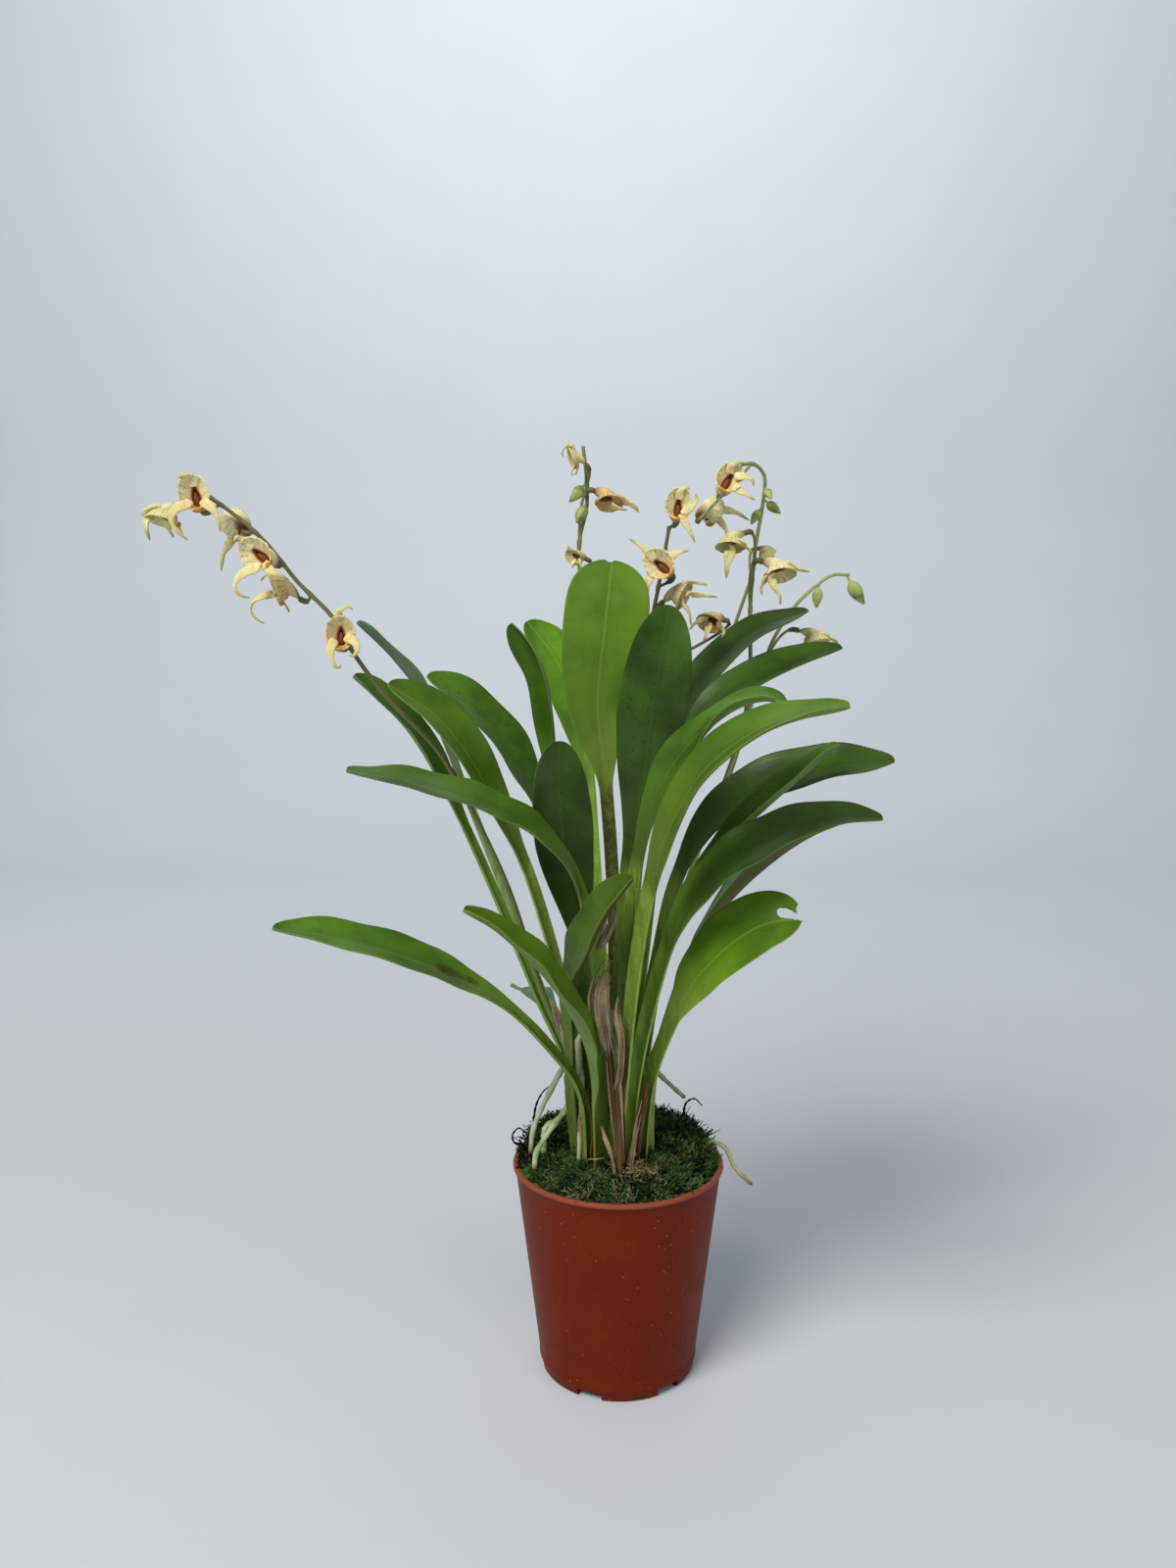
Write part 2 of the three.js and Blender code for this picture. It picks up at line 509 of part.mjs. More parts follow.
// Each row gives a flower's middle, the way its mouth looks, the way its hood's tip points, its size
// against the full one, the place along its stem where its own stalk starts, how far its arms hang, and
// whether the hood's tail is straight or hooks forward.
const flowerRows = [
  { name: "flower_left_1", stem: 0, at: [-125, 5, 242], mouth: [-0.2, -0.3, -0.9], tip: [-0.95, -0.1, 0.2],
    size: 0.95, from: 1, droop: 2, hook: 1 },
  { name: "flower_left_2", stem: 0, at: [-113, -6, 246], mouth: [0.1, -1, -0.1], tip: [-0.2, 0, 1],
    size: 1, from: 0.985, droop: 0, hook: 1 },
  { name: "flower_left_3", stem: 0, at: [-105, 5, 240], mouth: [-0.5, 0.8, -0.3], tip: [-0.1, 0.2, 1],
    size: 1, from: 0.93, droop: 2, hook: 1 },
  { name: "flower_left_4", stem: 0, at: [-96, -8, 230], mouth: [-0.1, -1, -0.1], tip: [-0.75, 0.1, 0.65],
    size: 1, from: 0.88, droop: 0, hook: 1 },
  { name: "flower_left_5", stem: 0, at: [-93, 4, 222], mouth: [-0.9, -0.3, -0.3], tip: [-0.3, 0, 0.95],
    size: 0.95, from: 0.83, droop: 2, hook: 1 },
  { name: "flower_left_6", stem: 0, at: [-74, -11, 209], mouth: [0.1, -1, -0.1], tip: [0, 0, 1],
    size: 0.95, from: 0.75, droop: 2, hook: 1 },
  { name: "flower_centre_top", stem: 1, at: [-12, 9, 258], mouth: [-0.9, -0.2, -0.3], tip: [-0.3, 0, 0.95],
    size: 0.6, from: 0.95, droop: 0, hook: 1 },
  { name: "flower_centre_side", stem: 1, at: [-3, 10, 247], mouth: [0.1, -0.6, -0.8], tip: [0.97, 0, -0.2],
    size: 0.8, from: 0.87, droop: 2, hook: 0 },
  { name: "flower_centre_low", stem: 1, at: [-12, 8, 231], mouth: [-0.4, -0.8, -0.4], tip: [-0.8, 0, 0.5],
    size: 0.55, from: 0.78, droop: 2, hook: 1 },
  { name: "flower_mid_right_top", stem: 2, at: [16, 2, 244], mouth: [0, -1, 0], tip: [0.05, 0, 1],
    size: 0.9, from: 1, droop: 0, hook: 1 },
  { name: "flower_mid_right_2", stem: 2, at: [11, 1, 228], mouth: [-0.1, -1, 0], tip: [-0.78, 0, 0.62],
    size: 0.95, from: 0.91, droop: 0, hook: 0 },
  { name: "flower_mid_right_3", stem: 2, at: [16.5, 6, 220.5], mouth: [0.8, -0.4, -0.4], tip: [0.2, 0, 0.95],
    size: 0.85, from: 0.86, droop: 0, hook: 1 },
  { name: "flower_mid_right_4", stem: 2, at: [26.5, 13, 213.5], mouth: [-0.3, -0.7, -0.6], tip: [-0.8, 0, 0.5],
    size: 0.78, from: 0.78, droop: 2, hook: 0 },
  { name: "flower_right_top", stem: 3, at: [32, 22, 254], mouth: [0, -1, 0.1], tip: [0.5, 0, 0.85],
    size: 0.95, from: 1, droop: 0, hook: 1 },
  { name: "flower_right_2", stem: 3, at: [27, 29, 246.5], mouth: [0.6, 0.6, -0.2], tip: [0, 0, 1],
    size: 0.95, from: 0.9, droop: 2, hook: 1 },
  { name: "flower_right_3", stem: 3, at: [32.5, 18, 236], mouth: [-0.1, -0.4, -0.9], tip: [-0.95, 0, -0.1],
    size: 0.85, from: 0.84, droop: 0, hook: 1 },
  { name: "flower_right_4", stem: 3, at: [45, 36, 235], mouth: [0.4, 0.4, -0.8], tip: [0.8, 0.3, 0.3],
    size: 0.6, from: 0.82, droop: 2, hook: 0 },
  { name: "flower_right_5", stem: 3, at: [47, 23, 228.6], mouth: [0.1, -0.5, -0.85], tip: [0.95, 0, 0.15],
    size: 0.95, from: 0.78, droop: 0, hook: 0 },
  { name: "flower_far_right", stem: 5, at: [59, 30, 209], mouth: [0.2, -0.3, -0.9], tip: [0.95, 0, 0.2],
    size: 0.85, from: 0.76, droop: 2, hook: 0 },
];

const flowerShapes = new Map();

function flowerPose(row) {
  const mouth = vector(row.mouth).normalize();
  const across = new THREE.Vector3().crossVectors(mouth, vector(row.tip)).normalize();
  const tip = new THREE.Vector3().crossVectors(across, mouth);
  const turn = new THREE.Matrix4().makeBasis(across, mouth, tip);
  turn.scale(new THREE.Vector3(row.size, row.size, row.size));
  turn.setPosition(vector(row.at));
  return turn;
}

function makeFlower(row) {
  const shape = `${row.droop} ${row.hook}`;
  if (!flowerShapes.has(shape)) {
    flowerShapes.set(shape, flowerGeometry(row.droop, row.hook));
  }
  const mesh = addPiece(row.name, flowerShapes.get(shape), surfaces.petal);
  flowerPose(row).decompose(mesh.position, mesh.quaternion, mesh.scale);
}

// Flower stems. Each row gives the foot on the rhizome, the line to the top, and buds or bracts that sit
// on the stem, each by the share of the length, its hang below the stem, and its half length.
const stemRows = [
  { name: "stem_left", foot: [-13, 4.5],
    path: [[-13, 5, 84], [-22, 5, 108], [-31, 4, 137], [-40, 2, 158], [-49, -2, 176], [-64, -5, 193],
      [-72, -5, 204], [-78, -4, 214], [-87, -3, 223], [-96, -2, 234], [-104, -1, 241], [-111, 0, 246]],
    buds: [] },
  { name: "stem_centre", foot: [-4, 3.5],
    path: [[-3, 6, 87], [-2, 9, 116], [-3, 11, 150], [-5, 12, 184], [-9, 13, 209], [-11, 14, 228],
      [-11, 14, 236], [-9, 14, 245], [-9, 14, 253], [-10, 14, 262]],
    buds: [{ share: 0.9, out: [-0.9, -0.3, 0.5], long: 2.6 }] },
  { name: "stem_mid_right", foot: [0.5, 5],
    path: [[2, 6, 88], [3, 8, 116], [4, 10, 150], [6, 10, 184], [9, 9, 211], [11, 8, 222], [13, 8, 233],
      [14, 8, 239]],
    buds: [] },
  { name: "stem_right", foot: [5, 15.8],
    path: [[7, 18, 85], [11, 21, 113], [18, 25, 136], [29, 27, 156], [37, 29, 177], [40, 30, 197],
      [40, 31, 218], [41, 29, 235], [43, 28, 249], [43, 27, 256], [40, 26, 259], [36, 26, 259]],
    buds: [
      { share: 0.93, out: [0.6, 0, -0.5], long: 2.2 },
      { share: 0.9, out: [-0.6, 0.2, -0.6], long: 2.2 },
    ] },
  { name: "stem_right_bare", foot: [1, 17],
    path: [[3, 21, 84], [6, 27, 112], [12, 33, 141], [20, 37, 167], [29, 38, 191], [36, 38, 212],
      [41, 37, 227]],
    buds: [] },
  { name: "stem_far_right", foot: [8.3, 11.8],
    path: [[9, 13, 86], [14, 16, 114], [21, 20, 137], [30, 22, 161], [38, 25, 183], [43, 30, 197],
      [48, 35, 209], [54, 37, 218], [60, 38, 224], [66, 38, 228], [71, 38, 228]],
    buds: [
      { share: 0.95, out: [-0.1, 0, -1], long: 2.8 },
      { share: 1.0, out: [0.6, 0, -0.8], long: 3.6 },
    ] },
];

function stemCurve(row) {
  return curveThrough([[...row.foot, stalkFoot], ...row.path]);
}

function stemRadius(t) {
  return THREE.MathUtils.lerp(stemFootRadius, stemTipRadius, t);
}

// The flower's own short stalk leaves the stem at a joint ring and stops just short of the flower's neck.
// It comes in along the line from the joint to the middle of the hood's back.
const ownStalk = { radius: 0.6, bend: 0.35, steps: 3, sides: 4, aim: [0, -1.9, -2.2] };

function flowerStalk(curve, row) {
  const pose = flowerPose(row);
  const end = vector(joint).applyMatrix4(pose);
  const inward = vector(ownStalk.aim).applyMatrix4(pose).sub(end).normalize();
  end.addScaledVector(inward, -gap);
  const start = curve.getPointAt(row.from);
  const bend = end.clone().addScaledVector(inward, -ownStalk.bend * start.distanceTo(end));
  const line = new THREE.QuadraticBezierCurve3(start, bend, end);
  return toSolid(rod(line, ownStalk.steps, ownStalk.sides, () => ownStalk.radius));
}

// A bud: a short neck, then a swelling. Its whole length is `reach` times the half length in its row.
const budShape = { neck: 0.45, fat: 0.5, neckShare: 0.3, reach: 3, steps: 5, sides: 6 };

function budSolid(curve, bud) {
  const start = curve.getPointAt(bud.share);
  const out = vector(bud.out).normalize();
  const line = new THREE.LineCurve3(start, start.clone().addScaledVector(out, bud.long * budShape.reach));
  const radius = (t) => {
    const place = (t - budShape.neckShare) / (1 - budShape.neckShare);
    return budShape.neck + bud.long * budShape.fat * Math.max(0, Math.sin(Math.PI * place));
  };
  return toSolid(rod(line, budShape.steps, budShape.sides, radius));
}

function stemSolid(row, index) {
  const curve = stemCurve(row);
  const solids = [toSolid(rod(curve, stemSteps, stemSides, stemRadius))];
  flowerRows.filter((flower) => flower.stem === index)
    .forEach((flower) => solids.push(flowerStalk(curve, flower)));
  row.buds.forEach((bud) => solids.push(budSolid(curve, bud)));
  return join(solids);
}

// Air roots: grey-green ropes that leave the clump and run over the moss or over the rim
const rootRows = [
  { name: "root_left_thin", radius: 1.0, sides: 6, steps: 7,
    lines: [[[-9.5, -1, 98], [-14.7, -1.5, 89], [-19.7, -2.5, 80], [-24, -3, 70], [-25, -3, 62]],
      [[-11.5, -1.5, 95], [-10.2, -9.6, 84], [-10.6, -10.4, 73], [-11.2, -10.6, 62]]] },
  { name: "root_left_branched", radius: 1.35, sides: 6, steps: 7,
    lines: [[[-14.5, 1.5, 84], [-14.6, -3, 76.5], [-17.7, -6, 73], [-21, -9, 69.2], [-23, -10.7, 66],
      [-23.5, -11, 61]],
      [[-17.7, -6, 73], [-20.2, -5.6, 71.8], [-21, -5.8, 67], [-21, -6, 61.5]]] },
  { name: "root_right_air", radius: 0.8, sides: 6, steps: 5,
    lines: [[[8.5, 3.2, 88], [12, 7, 82.5], [16, 9, 78], [20, 10, 74]]] },
  { name: "root_over_rim", radius: 0.75, sides: 6, steps: 6,
    lines: [[[24, 6, 60], [28, 5, 62.6], [31.5, 4, 61], [33.5, 3.5, 56.5], [36, 3, 53.5], [39, 2, 51]]] },
];

const rootTaper = 0.25;

function rootSolid(row) {
  return join(row.lines.map((line) => {
    const curve = curveThrough(line);
    return toSolid(rod(curve, row.steps, row.sides, (t) => row.radius * (1 - rootTaper * t)));
  }));
}

// Dry papery sheath that stands open round the middle stalks
const sheathRows = [
  { name: "sheath_brown", width: 3.8,
    line: [[0.3, -17, 61], [-0.6, -20.6, 76], [-1.8, -24, 92], [-3, -26, 112]] },
];

const sheath = { thickness: 0.7, cup: 0.5, foot: 0.7, swell: 0.5, tipLoss: 0.5, steps: 7 };

function sheathSolid(row) {
  const curve = curveThrough(row.line);
  const rings = [];
  for (let i = 0; i <= sheath.steps; i += 1) {
    const t = i / sheath.steps;
    const frame = frameAt(curve, t, new THREE.Vector3(0, -1, 0));
    const swell = sheath.foot + sheath.swell * Math.sin(Math.PI * t);
    const half = (row.width / 2) * swell * (1 - sheath.tipLoss * t ** 4);
    const ring = [];
    for (const side of [1, -1]) {
      for (const step of acrossBlade) {
        const v = step * side;
        ring.push(pointAt(frame, v * half, (side * sheath.thickness) / 2 - sheath.cup * half * v * v));
      }
    }
    rings.push(ring);
  }
  return toSolid(loft(rings));
}

// Rhizome: the creeping foot that every stalk and stem stands on, a low knobbly cake
const rhizomeHalf = [15, 17];
const rhizomeMiddle = [-2, 4];
const rhizomeUnder = 47;
const rhizomeWidest = 50;
const rhizomeSides = 20;
const knobs = { fivefold: 0.04, threefold: 0.03 };

function makeRhizome() {
  const around = rhizomeSides;
  const points = [];
  const faces = [];
  const levels = [[rhizomeUnder, 0.8], [rhizomeWidest, 1], [rhizomeTop, 0.96]];
  for (const [z, share] of levels) {
    for (let i = 0; i < around; i += 1) {
      const angle = (i * 2 * Math.PI) / around;
      const knobbly = knobs.fivefold * Math.cos(5 * angle) + knobs.threefold * Math.cos(3 * angle + z);
      const knob = share * (1 + knobbly);
      points.push(new THREE.Vector3(
        rhizomeMiddle[0] + rhizomeHalf[0] * knob * Math.cos(angle),
        rhizomeMiddle[1] + rhizomeHalf[1] * knob * Math.sin(angle),
        z,
      ));
    }
  }
  const bottom = points.push(new THREE.Vector3(...rhizomeMiddle, rhizomeUnder)) - 1;
  const top = points.push(new THREE.Vector3(...rhizomeMiddle, rhizomeTop)) - 1;
  for (let i = 0; i < around; i += 1) {
    const k = (i + 1) % around;
    faces.push([bottom, k, i]);
    faces.push([top, 2 * around + i, 2 * around + k]);
    for (const ring of [0, around]) {
      faces.push([ring + i, ring + k, ring + around + k], [ring + i, ring + around + k, ring + around + i]);
    }
  }
  const geometry = closedGeometry(points, faces);
  addPiece("rhizome", geometry, surfaces.rhizome);
  return geometry;
}

// A round body that fills the pot between two heights, its top raised by a formula
function potFilling(low, topAt, around, shares) {
  const inner = (z) => potOuterRadius(z) - potWall - gap;
  const points = [new THREE.Vector3(0, 0, low), new THREE.Vector3(0, 0, topAt(0, 0))];
  const faces = [];
  for (let i = 0; i < around; i += 1) {
    const angle = (i * 2 * Math.PI) / around;
    points.push(new THREE.Vector3(inner(low) * Math.cos(angle), inner(low) * Math.sin(angle), low));
  }
  shares.forEach((share) => {
    for (let i = 0; i < around; i += 1) {
      const angle = (i * 2 * Math.PI) / around;
      const reach = inner(Math.min(potHeight, topAt(0, 0))) * share;
      const x = reach * Math.cos(angle);
      const y = reach * Math.sin(angle);
      points.push(new THREE.Vector3(x, y, topAt(x, y)));
    }
  });
  const ringStart = (ring) => 2 + ring * around;
  for (let i = 0; i < around; i += 1) {
    const k = (i + 1) % around;
    faces.push([0, ringStart(0) + k, ringStart(0) + i]);
    faces.push([1, ringStart(1) + i, ringStart(1) + k]);
    for (let ring = 1; ring < shares.length; ring += 1) {
      const a = ringStart(ring);
      const b = ringStart(ring + 1);
      faces.push([a + i, b + i, b + k], [a + i, b + k, a + k]);
    }
    const rim = ringStart(shares.length);
    const foot = ringStart(0);
    faces.push([foot + i, foot + k, rim + k], [foot + i, rim + k, rim + i]);
  }
  return toSolid(closedGeometry(points, faces));
}

// Moss: a mound of cushions, level with the rim at the front and highest behind the clump
const mossRim = 58.6;
const mossMound = 5.5;
const mossBack = { rise: 4.2, from: -12, to: 20 };
const cushion = { height: 0.9, x: 0.45, xShift: 1, y: 0.5, yShift: 0.6 };
const hummock = { height: 0.5, x: 1.1, y: -0.9 };

function mossTop(x, y) {
  const r = Math.hypot(x, y) / potRimRadius;
  const mound = mossMound * (1 - r ** 4);
  const back = mossBack.rise * THREE.MathUtils.smoothstep(y, mossBack.from, mossBack.to);
  const wave = Math.sin(cushion.x * x + cushion.xShift) * Math.cos(cushion.y * y + cushion.yShift);
  const lumps = cushion.height * wave + hummock.height * Math.sin(hummock.x * x + hummock.y * y);
  return mossRim + mound + back + lumps * (1 - r ** 6);
}

const mossShares = [0.25, 0.48, 0.68, 0.85, 1];
const fillingSides = 30;
const holeTop = 72;
const holeUnderFoot = 1;
const holeSides = 6;
const stalkHole = 2.1;
const stemHole = 1.7;
const sheathHole = { place: 0.03, wide: 0.75, deep: 2.4, high: 4.5 };

// Plain hole: a straight six-sided rod round the first stretch of a stalk or stem, from just under its
// foot to above the moss, which is then cut out of the moss
function plainHole(curve, share, radius) {
  const foot = curve.getPointAt(0);
  const rise = curve.getPointAt(share).sub(foot);
  const low = foot.clone().addScaledVector(rise, (rhizomeTop - holeUnderFoot - foot.z) / rise.z);
  const high = foot.clone().addScaledVector(rise, (holeTop - foot.z) / rise.z);
  return toSolid(rod(new THREE.LineCurve3(low, high), 1, holeSides, () => radius));
}

makePot();
const rhizome = makeRhizome();
const leaves = leafRows.map((row) => ({ row, solid: leafSolid(row) }));
const stems = stemRows.map((row, index) => ({ row, solid: stemSolid(row, index) }));
const roots = rootRows.map((row) => ({ row, solid: rootSolid(row) }));
const sheaths = sheathRows.map((row) => ({ row, solid: sheathSolid(row) }));

const holes = [
  ...leafRows.map((row) => plainHole(leafCurve(row), stalkStations[1] * row.stalk, stalkHole)),
  ...stemRows.map((row) => plainHole(stemCurve(row), 1 / stemSteps, stemHole)),
];

// The rhizome's own room in the moss and the mix: the same body, grown by about a gap all round
const rhizomeRoom = { wide: 1.03, high: 1.09 };
const grownRhizome = toSolid(rhizome.clone()
  .translate(-rhizomeMiddle[0], -rhizomeMiddle[1], -rhizomeWidest)
  .scale(rhizomeRoom.wide, rhizomeRoom.wide, rhizomeRoom.high)
  .translate(rhizomeMiddle[0], rhizomeMiddle[1], rhizomeWidest));

let moss = potFilling(mixTop + gap, mossTop, fillingSides, mossShares);
moss = moss.subtract(grownRhizome).subtract(join(holes));
rootRows.forEach((row) => row.lines.forEach((line) => {
  const channel = rod(curveThrough(line), row.steps, row.sides, () => row.radius + gap);
  moss = moss.subtract(toSolid(channel));
}));
sheathRows.forEach((row) => {
  const foot = curveThrough(row.line).getPointAt(sheathHole.place);
  const radii = [row.width * sheathHole.wide, sheathHole.deep, sheathHole.high];
  moss = moss.subtract(toSolid(roundCutter(foot.toArray(), radii)));
});
const mix = potFilling(floorThickness + gap, () => mixTop, fillingSides, [1]).subtract(grownRhizome);

addPiece("potting_mix", toGeometry(mix), surfaces.mix);
addPiece("moss", toGeometry(moss), surfaces.moss);
leaves.forEach(({ row, solid }) => addPiece(row.name, toGeometry(solid), surfaces[row.tone]));
stems.forEach(({ row, solid }) => addPiece(row.name, toGeometry(solid), surfaces.stem));
roots.forEach(({ row, solid }) => addPiece(row.name, toGeometry(solid), surfaces.root));
sheaths.forEach(({ row, solid }) => addPiece(row.name, toGeometry(solid), surfaces.sheath));
flowerRows.forEach(makeFlower);

export default group;
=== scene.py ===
# %% [markdown]
# # A potted miniature orchid, dressed in Blender
# The plant is a clump of leathery strap leaves, thin flower stems with small tailed blooms, moss and a
# plastic pot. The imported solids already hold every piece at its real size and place. This lesson grows a
# finer piece over each solid from the same sizes, and gives each one the finish of the real surface.

# %% Load the frame
import math
import random
from dataclasses import dataclass
from functools import reduce

import bmesh
import bpy
import numpy as np
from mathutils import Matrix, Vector
from mathutils.kdtree import KDTree


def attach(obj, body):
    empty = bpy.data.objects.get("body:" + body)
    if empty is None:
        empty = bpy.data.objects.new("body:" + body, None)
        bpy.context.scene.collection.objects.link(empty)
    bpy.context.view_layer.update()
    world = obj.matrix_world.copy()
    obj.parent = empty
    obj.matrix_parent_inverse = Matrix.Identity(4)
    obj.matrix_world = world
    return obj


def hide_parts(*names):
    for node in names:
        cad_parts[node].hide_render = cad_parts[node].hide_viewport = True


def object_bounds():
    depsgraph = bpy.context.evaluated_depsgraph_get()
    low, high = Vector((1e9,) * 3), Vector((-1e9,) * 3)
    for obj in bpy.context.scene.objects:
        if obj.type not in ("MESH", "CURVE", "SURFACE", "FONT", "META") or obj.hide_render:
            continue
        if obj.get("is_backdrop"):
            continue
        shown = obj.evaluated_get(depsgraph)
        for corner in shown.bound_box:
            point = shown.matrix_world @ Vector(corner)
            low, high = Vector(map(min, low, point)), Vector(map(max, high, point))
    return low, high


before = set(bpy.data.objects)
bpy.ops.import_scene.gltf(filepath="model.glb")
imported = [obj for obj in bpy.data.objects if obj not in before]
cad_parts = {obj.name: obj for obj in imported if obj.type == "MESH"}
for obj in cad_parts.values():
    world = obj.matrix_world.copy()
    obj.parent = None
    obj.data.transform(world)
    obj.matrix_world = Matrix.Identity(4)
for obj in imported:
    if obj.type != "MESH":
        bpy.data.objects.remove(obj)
cad_box = [list(corner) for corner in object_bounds()]
MM = 0.001
print("CAD nodes:", len(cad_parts))

# %% [markdown]
# ## Camera first
# The camera was solved from the pot's rim and base in the photograph. Its focal length is 1204 of the
# picture's pixels, 1600 of which go from top to bottom, and it looks 5.8 degrees down from 326 mm in front
# of the pot and 201 mm up. Setting it first lets every later piece be judged in the same view.

# %% Camera
def add_object(name, data):
    """Puts a mesh, a light or a camera into the scene."""
    thing = bpy.data.objects.new(name, data)
    bpy.context.scene.collection.objects.link(thing)
    return thing


FOCAL_PIXELS = 1204
LONG_SIDE_PIXELS = 1600
SENSOR = 36.0
PITCH = math.radians(5.8)
CAMERA_PLACE = (-8.6, -326, 201)

camera = add_object("camera", bpy.data.cameras.new("camera"))
camera.data.sensor_width = SENSOR
camera.data.lens = SENSOR * FOCAL_PIXELS / LONG_SIDE_PIXELS
camera.data.clip_start = 0.01
camera.location = Vector(CAMERA_PLACE) * MM
camera.rotation_euler = (math.pi / 2 - PITCH, 0, 0)
bpy.context.scene.camera = camera
print("lens", round(camera.data.lens, 2), "mm")

# %% [markdown]
# ## Painting a finish
# Colours are written as the sRGB hex values that a painter would pick, and one function turns them to the
# linear numbers that shaders use. One function adds a shader node with its settings and its links. A finish
# starts from one shader and one ground colour, and every stain, vein and speck is then painted over it
# through masks, much as a painter lays glazes.

# %% Colours, nodes and finishes
def linear(hex_colour):
    channels = [int(hex_colour[i:i + 2], 16) / 255 for i in (0, 2, 4)]
    return tuple(c / 12.92 if c <= 0.04045 else ((c + 0.055) / 1.055) ** 2.4 for c in channels) + (1.0,)


def add_node(tree, kind, links=None, **settings):
    """Adds one node: settings are its properties, links its inputs' values or the sockets that feed them."""
    node = tree.nodes.new("ShaderNode" + kind)
    for name, value in settings.items():
        setattr(node, name, value)
    for key, value in (links or {}).items():
        if isinstance(value, bpy.types.NodeSocket):
            tree.links.new(value, node.inputs[key])
        else:
            node.inputs[key].default_value = value
    return node


class Finish:
    """A material in the making: one shader, the colour painted so far, and a short name for each node."""

    def __init__(self, name, roughness, ior=1.4, specular=0.5, glow=0.0, reach=(1.0, 0.2, 0.1)):
        """What is the same all over sits on the shader's sockets. glow is how much light passes through the
        skin, and reach how far red, green and blue light then travel."""
        self.material = bpy.data.materials.new(name)
        self.material.use_nodes = True
        self.tree = self.material.node_tree
        self.tree.nodes.clear()
        self.shader = add_node(self.tree, "BsdfPrincipled", {
            "Roughness": roughness, "IOR": ior, "Specular IOR Level": specular,
            "Subsurface Weight": glow, "Subsurface Radius": reach})
        add_node(self.tree, "OutputMaterial", {"Surface": self.shader.outputs["BSDF"]})
        self.colour = None

    def read(self, name):
        """A number that the mesh carries at each point, such as how far across a leaf the point lies."""
        return add_node(self.tree, "Attribute", attribute_name=name).outputs["Fac"]

    def math(self, operation, a, b=0.0):
        return add_node(self.tree, "Math", {0: a, 1: b}, operation=operation).outputs[0]

    def times(self, *values):
        return reduce(lambda a, b: self.math("MULTIPLY", a, b), values)

    def plus(self, a, b):
        return self.math("ADD", a, b)

    def step(self, value, low, high):
        """0 below low, 1 above high, and a soft step between."""
        limits = {"Value": value, "From Min": low, "From Max": high}
        return add_node(self.tree, "MapRange", limits, interpolation_type="SMOOTHSTEP").outputs["Result"]

    def mix(self, share, a, b):
        """Mixes two colours; each is a hex value or a socket."""
        a, b = (linear(c) if isinstance(c, str) else c for c in (a, b))
        return add_node(self.tree, "Mix", {0: share, 6: a, 7: b}, data_type="RGBA").outputs[2]

    def place(self):
        return add_node(self.tree, "TexCoord").outputs["Object"]

    def noise(self, size_mm, detail=3.0, rough=0.55, stretch=(1, 1, 1)):
        """Noise whose lumps are about size_mm wide, in the object's own millimetres."""
        place = add_node(self.tree, "Mapping", {"Vector": self.place(), "Scale": stretch}).outputs["Vector"]
        noise = add_node(self.tree, "TexNoise", {
            "Vector": place, "Scale": 1 / (size_mm * MM), "Detail": detail, "Roughness": rough})
        return noise.outputs["Fac"]

    def patches(self, size_mm, low, high, **noise):
        """1 in the noise's lumps, 0 between them."""
        return self.step(self.noise(size_mm, **noise), low, high)

    def spots(self, spacing_mm, size_mm, soft_mm=0.1):
        """1 inside small round spots that lie about spacing_mm apart, 0 between them."""
        cells = add_node(self.tree, "TexVoronoi", {"Vector": self.place(), "Scale": 1 / (spacing_mm * MM)})
        return self.step(cells.outputs["Distance"], (size_mm + soft_mm) / spacing_mm, size_mm / spacing_mm)

    def paint(self, colour, *masks):
        """Lays a colour over what is painted so far, as strongly as all the masks together let it."""
        self.colour = self.mix(self.times(*masks), self.colour, colour)

    def done(self, height=None, depth_mm=0.0):
        """Joins the painted colour, and a relief where there is one, to the shader."""
        self.tree.links.new(self.colour, self.shader.inputs["Base Color"])
        if height:
            lift = {"Height": height, "Distance": depth_mm * MM, "Strength": 1.0}
            relief = add_node(self.tree, "Bump", lift)
            self.tree.links.new(relief.outputs["Normal"], self.shader.inputs["Normal"])
        return self.material


print("finish tools ready")

# %% [markdown]
# ## Building a skin
# A skin is a list of points in millimetres, a list of faces, and a list for each number that its material
# reads. Rods and rings of points go into it one after another. At the end it becomes a Blender object: its
# faces are pointed outward and smoothed, and the solid that the piece stands for is hidden. Everything
# rides on the one body, because the plant has no joint.

# %% From points to a piece
made = {}


def unit(v):
    return v / max(np.linalg.norm(v), 1e-9)


def smoothstep(x, low, high):
    t = min(1.0, max(0.0, (x - low) / (high - low)))
    return t * t * (3 - 2 * t)


def turns(sides):
    """The angles of a ring's points."""
    return [2 * math.pi * j / sides for j in range(sides)]


